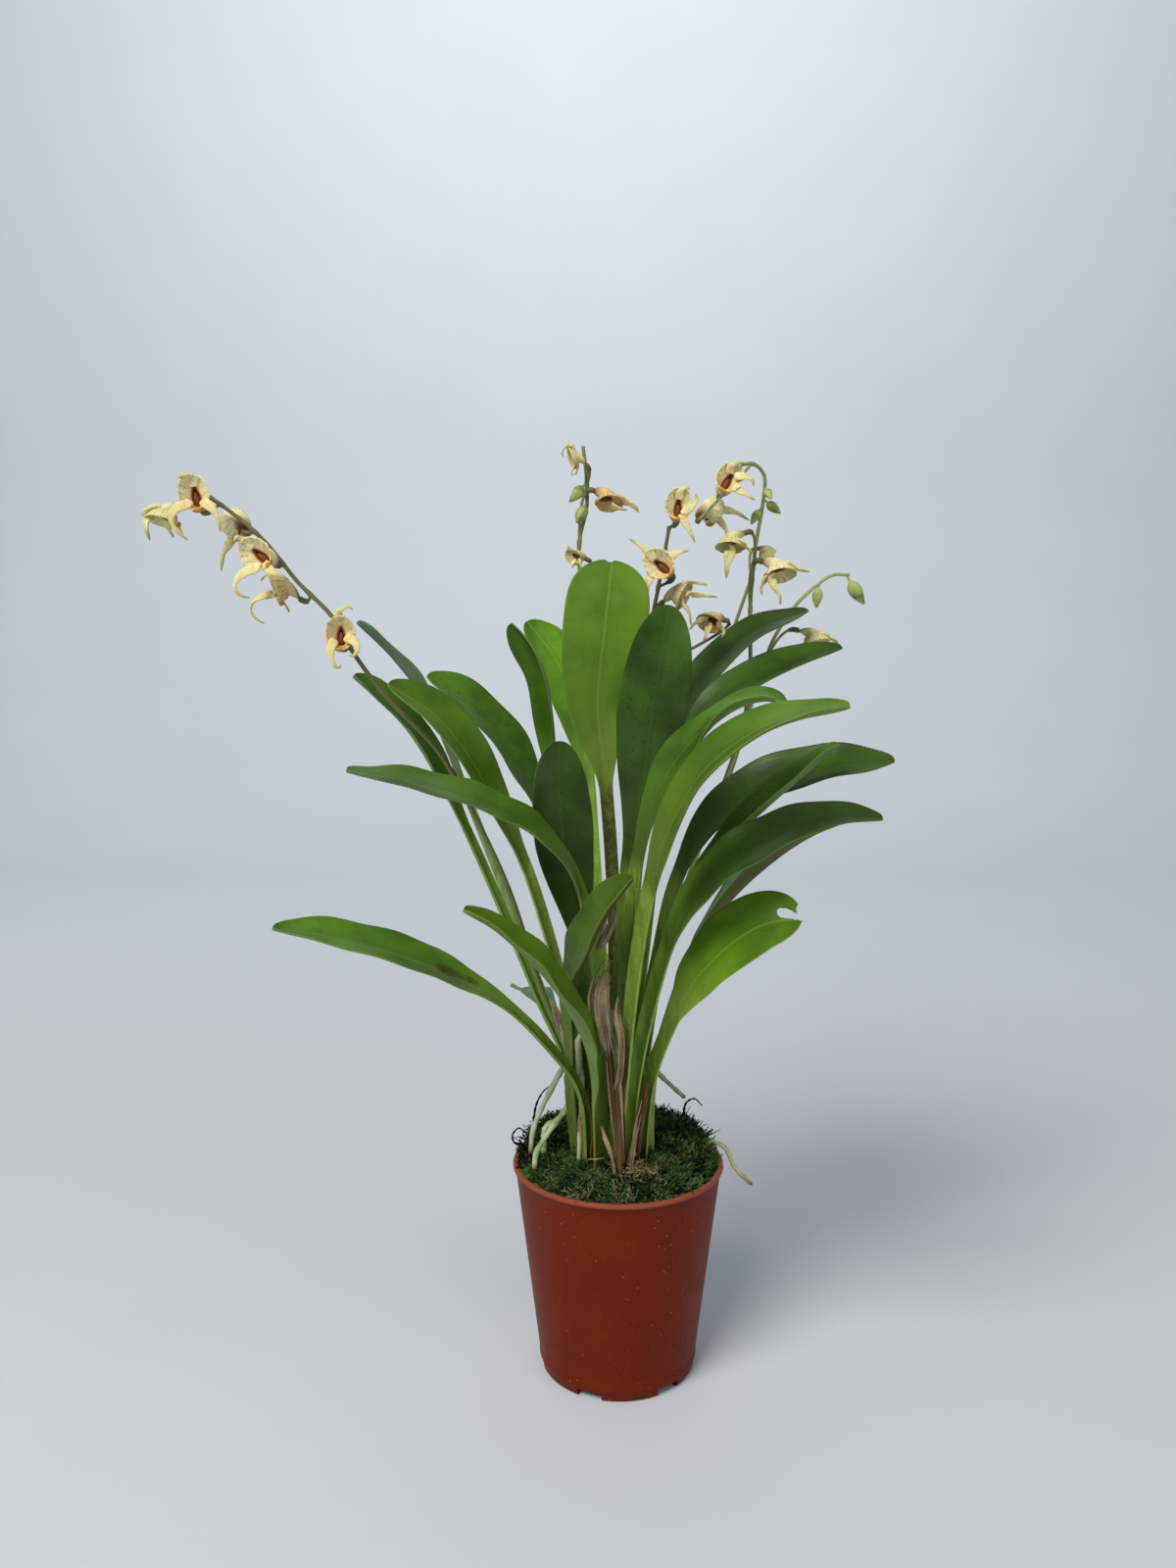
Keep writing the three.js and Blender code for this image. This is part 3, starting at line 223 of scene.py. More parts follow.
class Line:
    """A smooth curve through the points, read by the share of its length."""

    def __init__(self, points, samples=400):
        self.points = [np.array(p, float) for p in points]
        self.dense = np.array([self.raw(i / samples) for i in range(samples + 1)])
        steps = np.linalg.norm(np.diff(self.dense, axis=0), axis=1)
        self.reach = np.concatenate([[0], np.cumsum(steps)])
        self.length = self.reach[-1]

    def raw(self, t):
        last = len(self.points) - 1
        place = t * last
        k = min(int(place), last - 1)
        w = place - k
        p1, p2 = self.points[k], self.points[k + 1]
        p0 = self.points[k - 1] if k > 0 else 2 * p1 - p2
        p3 = self.points[k + 2] if k + 2 <= last else 2 * p2 - p1
        d0, d1, d2 = (max(np.linalg.norm(b - a), 1e-6) ** 0.5 for a, b in ((p0, p1), (p1, p2), (p2, p3)))
        m1 = ((p1 - p0) / d0 - (p2 - p0) / (d0 + d1) + (p2 - p1) / d1) * d1
        m2 = ((p2 - p1) / d1 - (p3 - p1) / (d1 + d2) + (p3 - p2) / d2) * d1
        return p1 + m1 * w + (3 * (p2 - p1) - 2 * m1 - m2) * w ** 2 + (2 * (p1 - p2) + m1 + m2) * w ** 3

    def at(self, share):
        place = np.clip(share, 0, 1) * self.length
        return np.array([np.interp(place, self.reach, self.dense[:, k]) for k in range(3)])

    def along(self, share, span=0.004):
        low, high = max(0.0, share - span), min(1.0, share + span)
        return unit(self.at(high) - self.at(low))


class Skin:
    """Points in millimetres, faces, and the numbers that the material reads at each point."""

    def __init__(self):
        self.points, self.faces, self.notes = [], [], {}

    def point(self, place, **notes):
        self.points.append(place)
        for name, number in notes.items():
            self.notes.setdefault(name, []).append(number)

    def close_rings(self, rings, sides):
        """Quads between the last rings of points, and one flat face over each end."""
        start = len(self.points) - rings * sides
        for i in range(rings - 1):
            for j in range(sides):
                a, b = start + i * sides + j, start + i * sides + (j + 1) % sides
                self.faces.append((a, b, b + sides, a + sides))
        self.faces += [tuple(range(first, first + sides)) for first in (start, len(self.points) - sides)]

    def tube(self, line, rings, sides, radius, ribs=0.0, **notes):
        """A round rod along a line, with three ribs where asked. The radius is a function of the share of the
        line's length, and so is a note that changes along it."""
        face = np.array([0, -1.0, 0] if abs(line.along(0)[2]) > 0.8 else [0, 0, 1.0])
        for i in range(rings):
            t = i / (rings - 1)
            along = line.along(t)
            across = unit(np.cross(along, face))
            face = np.cross(across, along)
            centre, half = line.at(t), radius(t)
            numbers = {name: note(t) if callable(note) else note for name, note in notes.items()}
            for a in turns(sides):
                reach = half * (1 + ribs * math.cos(3 * a))
                self.point(centre + reach * (math.cos(a) * across + math.sin(a) * face), **numbers)
        self.close_rings(rings, sides)

    def piece(self, name, material, slot, nodes=(), smooth=True):
        mesh = bpy.data.meshes.new(name)
        mesh.from_pydata((np.asarray(self.points, float) * MM).tolist(), [], self.faces)
        for key, numbers in self.notes.items():
            attribute = mesh.attributes.new(key, "FLOAT", "POINT")
            attribute.data.foreach_set("value", np.asarray(numbers, np.float32))
        skin = bmesh.new()
        skin.from_mesh(mesh)
        bmesh.ops.recalc_face_normals(skin, faces=skin.faces)
        skin.to_mesh(mesh)
        skin.free()
        mesh.polygons.foreach_set("use_smooth", [smooth] * len(mesh.polygons))
        mesh.materials.append(material)
        piece = add_object(name, mesh)
        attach(piece, "root")
        if nodes:
            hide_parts(*nodes)
        made[name] = sum(len(p.vertices) - 2 for p in mesh.polygons)
        return piece


def cut(piece, shape):
    """Takes the volume of a bmesh shape out of the piece for good."""
    mesh = bpy.data.meshes.new("cutter")
    shape.to_mesh(mesh)
    shape.free()
    cutter = add_object("cutter", mesh)
    change = piece.modifiers.new("cut", "BOOLEAN")
    change.object = cutter
    change.solver = "EXACT"
    bpy.context.view_layer.update()
    done = bpy.data.meshes.new_from_object(piece.evaluated_get(bpy.context.evaluated_depsgraph_get()))
    piece.modifiers.clear()
    piece.data = done
    bpy.data.objects.remove(cutter)


def count(kind):
    """Prints how many triangles the pieces of one kind have."""
    print(kind, "triangles:", sum(number for name, number in made.items() if name.startswith("fine_" + kind)))


print("piece makers ready")

# %% [markdown]
# ## The leaves
# Each leaf is one leathery strap on a grooved stalk. It could be a flat outline with a thickness, but a real
# blade is thick along its midrib, thin at its margin and folded like a shallow gutter. So it is lofted: a
# closed section travels along a smooth middle line, round and channelled in the stalk, wide and thin in the
# blade. Each row takes over a solid leaf's foot, middle line and width. Only the first is narrower than its
# solid, as the photo shows it. The row adds what is the leaf's own: how its blade opens and ends, how broad
# its stalk is, and how it is speckled, marked and bitten. It also adds a shade: a brightness that is partly
# the leaf's own tone and partly painted light and painted shade, where other leaves shade it or where the
# light falls on it more fully.

# %% Leaf rows
STALK_FOOT = 54.3


@dataclass
class Leaf:
    name: str
    tone: str
    foot: tuple           # where the stalk stands, in mm
    width: float          # of the blade, in mm
    stalk: float          # the stalk's share of the whole length
    fold: float           # how deep the blade's gutter is
    face_low: tuple       # where the upper side looks, at the foot
    face_high: tuple      # and at the tip
    path: list            # the rest of the middle line
    blunt: float = 2.4    # how blunt the tip is
    opening: float = 1.3  # how slowly the blade opens
    widest: float = 0.64  # the share of the blade where it is widest
    broad: float = 1.85   # half the stalk's width where it meets the blade
    # The shade is partly the leaf's own tone and partly painted light and painted shade.
    shade: tuple = (1, 1)  # how light it is beside others of its tone, at the blade's foot and tip
    speckled: float = 0.35    # how purple-brown the stalk is
    in_front: bool = False    # a stalk that no leaf shades
    marks: tuple = ()     # where along and across the blade, how far each way, how strong
    bites: tuple = ()     # the middle and the radius of each


LEAVES = [
    Leaf("leaf_left_back_grey", "grey", (-9, 13), 9, 0.62, 0.3, (0.5, 0.5, 0.7), (0.5, 0.4, 0.8),
         [(-10, 15, 78), (-20, 19, 98), (-32, 25, 128), (-45, 31, 160), (-57, 35, 189), (-68, 37, 204),
         (-79, 38, 214)], shade=(0.6, 0.6)),
    Leaf("leaf_left_dark_narrow", "dark", (-12.5, 8), 12, 0.62, 0.4, (0.7, -0.4, 0.6), (0.7, -0.3, 0.7),
         [(-14, 10, 82), (-23, 11, 104), (-36, 12, 136), (-46, 11, 159), (-55, 9, 178), (-63, 7, 189),
         (-74, 5, 198)], shade=(1.6, 1.6)),
    Leaf("leaf_left_bright", "bright", (-9.5, 2.5), 17, 0.58, 0.3, (0.7, -0.5, 0.5), (0.5, -0.4, 0.7),
         [(-10, 2, 83), (-16, 0, 111), (-25, -3, 143), (-33, -6, 162), (-41, -10, 178), (-49, -12, 188),
         (-61, -15, 196)], opening=1.1, broad=2.3, shade=(0.79, 0.79), speckled=0.5),
    Leaf("leaf_left_dark_broad", "dark", (-7, 9), 18, 0.58, 0.3, (0.7, -0.5, 0.5), (0.5, -0.4, 0.7),
         [(-7, 10, 81), (-11, 13, 113), (-17, 15, 143), (-24, 14, 164), (-33, 12, 180), (-43, 10, 191),
         (-54, 9, 198)], broad=2.3, shade=(1.65, 1.65), speckled=0.5),
    Leaf("leaf_left_long_front", "middle", (-3.5, -2.5), 16, 0.52, 0.25, (0.5, -0.5, 0.7), (0.1, -0.1, 1),
         [(-5, -11, 88), (-7, -20, 118), (-11, -27.5, 145), (-20, -36, 159), (-34, -43, 168),
         (-49, -49, 173), (-64, -56, 177)], opening=1.1, broad=2.3, shade=(0.88, 0.88)),
    Leaf("leaf_centre_back_narrow", "middle", (-3, 8), 12, 0.62, 0.4, (-0.9, -0.4, 0.1), (-0.8, -0.5, 0.4),
         [(-4, 9, 86), (-9, 11, 118), (-14, 10, 144), (-18, 7, 167), (-20, 5, 185), (-23, 3, 200),
         (-30, 1, 212)]),
    Leaf("leaf_front_dark_upright", "dark", (-7, -3.5), 16, 0.52, 0.2, (0.3, -1, 0), (0.2, -1, 0.2),
         [(-8, -6, 88), (-9.5, -12, 113), (-12, -17, 136), (-15, -19, 155), (-16, -19, 170),
         (-16, -18, 181)], broad=2.4, shade=(0.6, 0.78), marks=[(0.6, 0, 0.4, 1.2, 0.45)]),
    Leaf("leaf_centre_back_upright", "middle", (0, 13), 17, 0.66, 0.25, (0.3, -0.8, 0.2), (0.4, -0.7, 0.6),
         [(-2, 17, 84), (-5, 22, 118), (-7, 26, 147), (-9, 28, 171), (-13, 30, 190), (-19, 32, 204),
         (-27, 34, 214)], shade=(2, 2)),
    Leaf("leaf_centre_notched", "bright", (0.6, 1.2), 23, 0.62, 0.12, (0, -1, 0.1), (0.1, -1, 0.1),
         [(-1, 2, 89), (-1, 1, 118), (-2, 0, 146), (-4, -2, 171), (-6, -3, 190), (-4, -4, 211),
         (-2, -3, 229)], blunt=3.4, opening=1.15, widest=0.74, shade=(0.78, 1), speckled=1, in_front=True,
         marks=[(0.75, -0.4, 0.15, 0.5, 0.15)], bites=[(-2.6, -3, 230, 1.6)]),
    Leaf("leaf_front_tall_dark", "dark", (1.2, -5), 18, 0.56, 0.15, (-0.3, -1, 0), (-0.1, -1, 0.1),
         [(0, -9, 93), (1, -13, 124), (3, -17, 152), (6, -20, 172), (8, -22, 190), (10, -23, 203),
         (12, -23, 216)], broad=2.5, shade=(0.6, 0.95), speckled=0.4, marks=[(0.6, 0, 0.4, 1.2, 0.4)]),
    Leaf("leaf_front_short", "brown", (-11, -4.5), 15, 0.36, 0.45, (-0.7, -0.6, 0.4), (-0.5, -0.4, 0.8),
         [(-13, -7, 78), (-13.5, -13, 96), (-13, -21, 113), (-11, -30, 127), (-7, -34, 136), (-3, -37, 143),
         (2, -41, 149)], blunt=1.9, opening=1, broad=2.3, shade=(0.8, 0.8), in_front=True),
    Leaf("leaf_right_upper_blunt", "middle", (4.5, 12), 16, 0.62, 0.25, (-0.6, -0.6, 0.4),
         (-0.3, -0.3, 0.9), [(4, 13, 85), (5, 16, 116), (7, 19, 148), (14, 21, 175), (24, 21, 196),
         (39, 22, 210), (56, 24, 217)], blunt=3, shade=(0.6, 0.6)),
    Leaf("leaf_right_curled", "middle", (-2.5, -6.5), 15, 0.58, 0.25, (-0.7, -0.6, 0.3), (0.2, -0.05, 1),
         [(0, -14.5, 94), (1.5, -22, 123), (4, -28, 150), (9, -33, 170), (18, -37, 184), (28, -41, 192),
         (36, -43, 193), (40, -44, 188)], broad=2.3, shade=(0.5, 1.5)),
    Leaf("leaf_right_dark_back", "dark", (7, 5), 16, 0.6, 0.3, (-0.6, -0.6, 0.4), (-0.3, -0.3, 0.9),
         [(5, 6, 87), (8, 7, 121), (12, 7, 153), (19, 7, 178), (30, 7, 192), (46, 8, 201), (63, 9, 206)],
         shade=(0.9, 0.9), marks=[(0.8, 0.2, 0.12, 0.6, 0.3)]),
    Leaf("leaf_right_long_front", "bright", (-1, -10), 18, 0.55, 0.25, (-0.7, -0.6, 0.4), (-0.2, -0.1, 1),
         [(1.2, -19.5, 91), (3, -31, 119), (6, -40, 143), (11, -47, 163), (18, -54, 177), (32, -60, 188),
         (49, -66, 192)], opening=0.9, broad=2.7, shade=(0.55, 0.97), speckled=0.35,
         marks=[(0.5, 0, 0.22, 1, 0.3)]),
    Leaf("leaf_right_far", "dark", (8.5, 1), 18, 0.54, 0.3, (-0.5, -0.6, 0.6), (-0.1, -0.4, 0.9),
         [(6, 0, 89), (11, -2, 118), (16, -5, 142), (24, -8, 158), (36, -11, 168), (54, -14, 174),
         (72, -17, 176)], blunt=1.9, opening=1, broad=2.5, shade=(0.85, 0.92)),
    Leaf("leaf_right_folded", "middle", (4.8, -2.2), 10, 0.55, 0.6, (-0.5, -0.4, 0.7), (-0.4, -0.2, 0.9),
         [(5, -6, 89), (10, -12, 115), (17, -17, 139), (27, -21, 155), (37, -24, 166), (47, -26, 175),
         (55, -27, 181)], blunt=1.7, broad=2.2, marks=[(0.6, -0.8, 0.4, 0.3, 0.7)]),
    Leaf("leaf_right_middle", "middle", (3, -8.5), 18, 0.5, 0.3, (-0.5, -0.6, 0.6), (-0.1, -0.2, 1),
         [(4, -14, 85), (8, -22, 112), (15, -31, 137), (25, -37, 151), (39, -40, 160), (52, -41, 164),
         (63, -42, 164)], blunt=1.8, opening=0.95, broad=2.6, shade=(1.3, 0.5), speckled=0.3),
    Leaf("leaf_right_brown_under", "brown", (8.8, -3), 14, 0.52, 0.3, (-0.5, 0.2, 0.9), (-0.4, 0.2, 0.9),
         [(9.5, -6, 86), (14, -10, 107), (20, -14, 125), (28, -18, 139), (38, -21, 150), (49, -23, 158),
         (60, -24, 162)], marks=[(0.28, 0, 0.04, 0.6, 1), (0.2, 0.2, 0.03, 0.5, 1),
         (0.36, -0.2, 0.03, 0.4, 0.9)]),
    Leaf("leaf_right_back_grey", "grey", (9, 8), 12, 0.52, 0.3, (-0.5, 0.2, 0.8), (-0.3, 0.3, 0.9),
         [(9, 9, 81), (17, 12, 103), (24, 17, 121), (32, 21, 133), (38, 24, 141), (46, 27, 145)]),
    Leaf("leaf_right_bitten", "bright", (6.5, -6.6), 18, 0.5, 0.25, (-0.5, -0.6, 0.6), (-0.15, -0.75, 0.65),
         [(8, -12, 85), (13, -19, 104), (20, -27, 121), (29, -33, 132), (36, -37, 137), (44, -41, 139)],
         blunt=3.2, opening=0.85, broad=2.5, shade=(1.3, 1), in_front=True, bites=[(39.6, -38, 139.4, 1.25),
         (40.5, -38, 139.4, 1.25), (41.4, -38.3, 139.3, 1.1), (42.6, -38.8, 139, 0.9),
         (43.8, -39.2, 138.9, 0.9), (45, -39.5, 138.8, 1), (44.9, -39.2, 140.6, 2)]),
    Leaf("leaf_front_left_low", "bright", (-4.8, -10.2), 14, 0.15, 0.35, (0.5, -0.6, 0.6), (0.2, -0.2, 1),
         [(-6, -21, 85), (-8, -32, 104), (-14, -43, 120), (-22, -50, 132), (-30, -54, 140),
         (-37, -59, 145)], opening=0.75, widest=0.56, broad=3, shade=(0.75, 0.8), in_front=True),
    Leaf("leaf_left_long_low", "middle", (-8.4, -7.8), 15, 0.42, 0.3, (0.4, -0.4, 0.8), (0.1, -0.2, 1),
         [(-10.5, -15, 85), (-19, -21, 100), (-30, -24, 112), (-43, -28, 121), (-57, -32, 128),
         (-72, -35, 133), (-87, -38, 136)], shade=(1.2, 1.2), in_front=True,
         marks=[(0.4, 0.1, 0.08, 0.6, 0.9), (0.29, 0.3, 0.05, 0.5, 0.7)]),
    Leaf("leaf_back_left_small", "grey", (-5, 16.5), 12, 0.45, 0.3, (0.3, -0.5, 0.8), (0.1, 0, 1),
         [(-10, 24, 74), (-17, 36, 86), (-23, 48, 92), (-28, 62, 92), (-32, 78, 88)]),
]
print("leaves:", len(LEAVES))

# %% [markdown]
# The section has two sides that meet in a rounded margin. The upper side carries a narrow groove over the
# midrib, and the under side a soft keel. Both grow out of the stalk's channel, and a slow wave along the
# margin keeps the blade from looking pressed. The mesh also stores where each point lies, in millimetres
# from the midrib and as a share of the blade, so that veins, margin and spots follow the real leaf.

# %% Leaf shape
STALK_RADIUS = 1.35
BLADE_THICKNESS = 1.0
MARGIN_THICKNESS = 0.38
ACROSS_STEPS = 17
STALK_RINGS = 26
BLADE_RINGS = 70
ROUND = 6.28  # a full turn, in radians
# Where the points lie across a side, from margin to margin, closer together near the margins
COLUMNS = [math.sin(math.pi / 2 * (2 * j / (ACROSS_STEPS - 1) - 1)) for j in range(ACROSS_STEPS)]


def half_width(leaf, t, u, radius):
    """Half the leaf's width: the stalk's runs out where the blade's comes in."""
    rise = math.sin(math.pi / 2 * min(1, u / leaf.widest)) ** leaf.opening
    past = max(0.0, (u - leaf.widest) / (1 - leaf.widest))
    blade = leaf.width / 2 * (rise * math.sqrt(max(0.0004, 1 - past ** leaf.blunt)))
    stalk = radius + (leaf.broad - radius) * smoothstep(t, 0.02, 0.75 * leaf.stalk)
    return max(0.12, ((stalk * (1 - smoothstep(u, 0.3, 0.9))) ** 4 + blade ** 4) ** 0.25)


def blade_lift(leaf, u, v, side, half, blend, phases):
    """How far a point of the blade stands off the plane of the section."""
    mm = v * half
    thick = BLADE_THICKNESS * (1 - 0.45 * smoothstep(u, 0.8, 1))
    slim = MARGIN_THICKNESS + (thick - MARGIN_THICKNESS) * (1 - abs(v) ** 2.5)
    rib = -0.32 * math.exp(-(mm / 0.75) ** 2) if side > 0 else -0.4 * math.exp(-(mm / 1.0) ** 2)
    lift = leaf.fold * half * (v * v - 0.35) + side * slim / 2 * (1 - 0.98 * (abs(v) > 0.999)) + rib * blend
    wave = sum(high * math.sin(phase + (1.3 if v > 0 else 0)) for phase, high in phases)
    return lift + wave * v * v * smoothstep(u, 0.15, 0.5) * (1 - 0.6 * smoothstep(u, 0.9, 1))


def stalk_lift(v, side, radius):
    """The stalk is round below and channelled above."""
    bow = math.sqrt(max(0.0, 1 - v * v))
    return radius * (0.42 - 0.62 * bow ** 3) if side > 0 else radius * (0.42 - 1.3 * bow)


def leaf_notes(leaf, u, v):
    mark = sum(strong * math.exp(-((u - a) / long) ** 2 - ((v - b) / wide) ** 2) * (u > 0)
               for a, b, long, wide, strong in leaf.marks)
    # Painted light: a stalk that other leaves shade is painted brighter below the blade, unless it stands in
    # front.
    painted_stalk_light = 0.0 if leaf.in_front else 0.9 * (1 - smoothstep(u, 0.0, 0.08))
    return {"along": u, "mark": min(1.0, mark), "speckled": leaf.speckled * (1 - smoothstep(u, 0.0, 0.14)),
            "shade": leaf.shade[0] + (leaf.shade[1] - leaf.shade[0]) * u + painted_stalk_light}


def leaf_skin(leaf, rng):
    line = Line([(*leaf.foot, STALK_FOOT)] + leaf.path)
    waves = [(rng.uniform(0, ROUND), rng.uniform(16, 30), rng.uniform(0.12, 0.34)) for _ in range(3)]
    blade_mm = line.length * (1 - leaf.stalk)
    shares = [leaf.stalk * i / STALK_RINGS for i in range(STALK_RINGS)]
    shares += [leaf.stalk + (1 - leaf.stalk) * math.sin(math.pi / 2 * i / BLADE_RINGS)
               for i in range(BLADE_RINGS + 1)]
    skin = Skin()
    for t in shares:
        u = max(0.0, (t - leaf.stalk) / (1 - leaf.stalk))
        face = np.array(leaf.face_low, float) * (1 - u) + np.array(leaf.face_high, float) * u
        along = line.along(t)
        across = unit(np.cross(along, face))
        out = np.cross(across, along)
        blend = smoothstep(u, 0, 0.3)
        radius = STALK_RADIUS * (1.12 - 0.3 * t)
        half = half_width(leaf, t, u, radius)
        phases = [(start + u * blade_mm * ROUND / long, high) for start, long, high in waves]
        centre = line.at(t)
        for side, columns in ((1, COLUMNS), (-1, COLUMNS[::-1][1:-1])):
            for v in columns:
                lift = stalk_lift(v, side, radius) * (1 - blend)
                lift += blade_lift(leaf, u, v, side, half, blend, phases) * blend
                p = centre + across * (v * half) + out * lift
                p[2] = max(p[2], STALK_FOOT)
                skin.point(p, mm_across=v * half, under=(1 - side) / 2, stalk=min(1.0, t / leaf.stalk),
                           edge=half - abs(v * half), **leaf_notes(leaf, u, v))
    skin.close_rings(len(shares), 2 * ACROSS_STEPS - 2)
    return skin


print("points across a leaf:", 2 * ACROSS_STEPS - 2)

# %% [markdown]
# ## Leaf finish
# A living orchid leaf is a waxy cuticle over green tissue: a soft, broad gloss on top, a duller and paler
# under side, a pale line over the midrib and thin parallel veins about a millimetre apart. Older leaves carry
# dark specks and brown-purple stains. One function paints these from the numbers on the mesh, and each age of
# leaf gets its own greens.

# %% Leaf materials
VEIN_SPACING = 1.3


def leaf_material(name, top, deep, under, stalk, rib, spots, stain, roughness):
    """top and deep are the light and shaded greens of the upper side. rib says how pale the midrib is, and
    spots and stain how much the leaf is marked."""
    m = Finish(name, roughness, ior=1.45, specular=0.28, glow=0.1, reach=(0.0012, 0.002, 0.0004))
    mm, along, side, mark = (m.read(note) for note in ("mm_across", "along", "under", "mark"))
    from_rib = m.math("ABSOLUTE", mm)
    clouds, fine = m.patches(16, 0.35, 0.68, detail=4), m.noise(1.2)
    m.colour = m.mix(clouds, top, deep)
    m.paint(deep, fine, 0.3)
    lane = m.math("ABSOLUTE", m.math("SINE", m.times(mm, math.pi / VEIN_SPACING)))
    vein = m.times(m.step(lane, 0.2, 0.0), m.patches(11, 0.35, 0.7, detail=2))
    m.paint(stalk, vein, 0.16)
    m.paint(stalk, m.step(from_rib, 0.55, 0.05), rib)
    m.paint(deep, m.step(from_rib, 2.2, 0.3), 0.25)
    pale = m.mix(m.times(clouds, 0.5), under, deep)
    m.paint(m.mix(m.times(vein, 0.2), pale, deep), side)
    m.paint(stalk, m.step(along, 0.5, 0.0), 0.7)
    streaks = m.patches(2.0, 0.42, 0.62, detail=4, stretch=(1, 1, 0.12))
    m.paint(deep, streaks, m.step(along, 0.3, 0.0), 0.45)
    m.paint("8C7A48", m.step(m.read("stalk"), 0.32, 0.02), m.patches(6, 0.4, 0.62, detail=4), 0.7)
    m.paint(stalk, m.step(m.read("edge"), 0.3, 0.04), 0.4)
    m.paint("17140C", m.spots(2.4, 0.34), m.patches(20, 0.6 - 0.25 * spots, 0.75), spots)
    stains = m.patches(5.5, 0.56, 0.68, detail=5, rough=0.7)
    m.paint("33241A", stains, m.patches(28, 0.48, 0.6, detail=1), stain)
    grain = m.patches(1.6, 0.38, 0.62, detail=4, rough=0.65)
    solid = m.times(m.step(mark, 0.5, 0.95), m.plus(0.45, m.times(grain, 0.55)))
    dots = m.times(m.step(mark, 0.05, 0.35), m.spots(1.5, 0.2), 0.75)
    m.paint("2E1E14", m.math("MAXIMUM", solid, dots))
    purple = m.plus(0.3, m.times(m.math("MAXIMUM", m.spots(1.1, 0.24), grain), 0.7))
    m.paint("50391F", m.read("speckled"), purple, 0.8)
    # The shade note scales the colour: the leaf's own tone, with painted light and painted shade.
    shaded = {0: m.colour, "Scale": m.read("shade")}
    m.colour = add_node(m.tree, "VectorMath", shaded, operation="SCALE").outputs[0]
    gloss = m.plus(m.times(side, 0.14), m.times(fine, 0.14))
    m.tree.links.new(m.plus(gloss, roughness - 0.07), m.shader.inputs["Roughness"])
    return m.done(m.plus(m.times(vein, -0.5), m.times(fine, 0.5)), 0.08)


LEAF_MATERIALS = {
    "bright": leaf_material("waxy_young_leaf", "64861C", "486B12", "7C9440", "8AA244", 0.5, 0.3, 0.2, 0.40),
    "middle": leaf_material("waxy_grown_leaf", "4E741B", "34520E", "6C8A44", "6E8C34", 0.3, 0.5, 0.3, 0.40),
    "dark": leaf_material("waxy_old_leaf", "3E5F15", "263E0A", "556F38", "4F6E24", 0.25, 0.9, 0.5, 0.38),
    "grey": leaf_material("waxy_shade_leaf", "4C6C34", "335024", "74906C", "7F9850", 0.3, 0.4, 0.3, 0.42),
    "brown": leaf_material("waxy_marked_leaf", "587A1C", "3C5612", "564E20", "7A923C", 0.3, 0.8, 0.7, 0.5),
}


def bite(piece, places):
    """Cuts round bites out of a blade, then reads the new edge's numbers from the nearest old points."""
    mesh = piece.data
    names = [a.name for a in mesh.attributes if a.domain == "POINT" and a.data_type == "FLOAT"]
    old = {name: [d.value for d in mesh.attributes[name].data] for name in names}
    tree = KDTree(len(mesh.vertices))
    for i, vertex in enumerate(mesh.vertices):
        tree.insert(vertex.co, i)
    tree.balance()
    for x, y, z, size in places:
        ball = bmesh.new()
        bmesh.ops.create_icosphere(ball, subdivisions=3, radius=size * MM)
        for vertex in ball.verts:
            vertex.co = Vector((vertex.co.x, vertex.co.y * 3, vertex.co.z)) + Vector((x, y, z)) * MM
        cut(piece, ball)
    mesh = piece.data
    nearest = [tree.find(vertex.co)[1] for vertex in mesh.vertices]
    for name in names:
        note = mesh.attributes.get(name) or mesh.attributes.new(name, "FLOAT", "POINT")
        note.data.foreach_set("value", [old[name][i] for i in nearest])


leaf_rng = random.Random(11)
for leaf in LEAVES:
    skin = leaf_skin(leaf, leaf_rng)
    piece = skin.piece("fine_" + leaf.name, LEAF_MATERIALS[leaf.tone], "leaf_" + leaf.tone, [leaf.name])
    if leaf.bites:
        bite(piece, leaf.bites)
        print(leaf.name, "bitten, points:", len(piece.data.vertices))
count("leaf")

# %% [markdown]
# ## The flowers
# Three petal-like lobes are grown together into one small hood, barely a centimetre tall. Each lobe runs out
# in a slim tail: one from the hood's tip and two like legs below. In the mouth a narrow dark slit leads to
# the lip, and a dark chin at the back meets the flower's own stalk. The hood could be a sphere pushed into
# shape, but a round of spokes gives an even rim, so the shell is drawn ring by ring: from the chin, round the
# bowl, over the rim, down the dish and into the slit. Every flower holds its tails its own way, so each tail
# is a short list of places, in millimetres from the flower's middle.

# %% Flower rows
HOOD_HALF_WIDTH, HOOD_UP, HOOD_DOWN, HOOD_DEPTH = 4.3, 5.4, 4.4, 5.0
SHELL = 0.5
SPOKES = 48
TAIL_RINGS, LIP_RINGS, ROD_SIDES = 30, 9, 12
LOWER_TAIL_HALF_WIDTH = 1.4
TAIL_ROOTS = (0.45, 0.66, 0.66)  # how far out in the hood each tail starts
JOINT = np.array([0, -3.6, -4.4])


@dataclass
class Flower:
    name: str
    stem: int             # which stem carries it
    middle: tuple         # where it is, in mm
    mouth: tuple          # where its mouth looks
    up: tuple             # and its top
    size: float
    share: float          # where on the stem its own stalk starts
    tails: list           # the hood's tail, then the two lower ones
    horn: float = 1.3     # half the width of the hood's tail: more where it is drawn out into a horn
    green: float = 0.0    # how green it has turned
    tan: float = 0.0      # and how tan


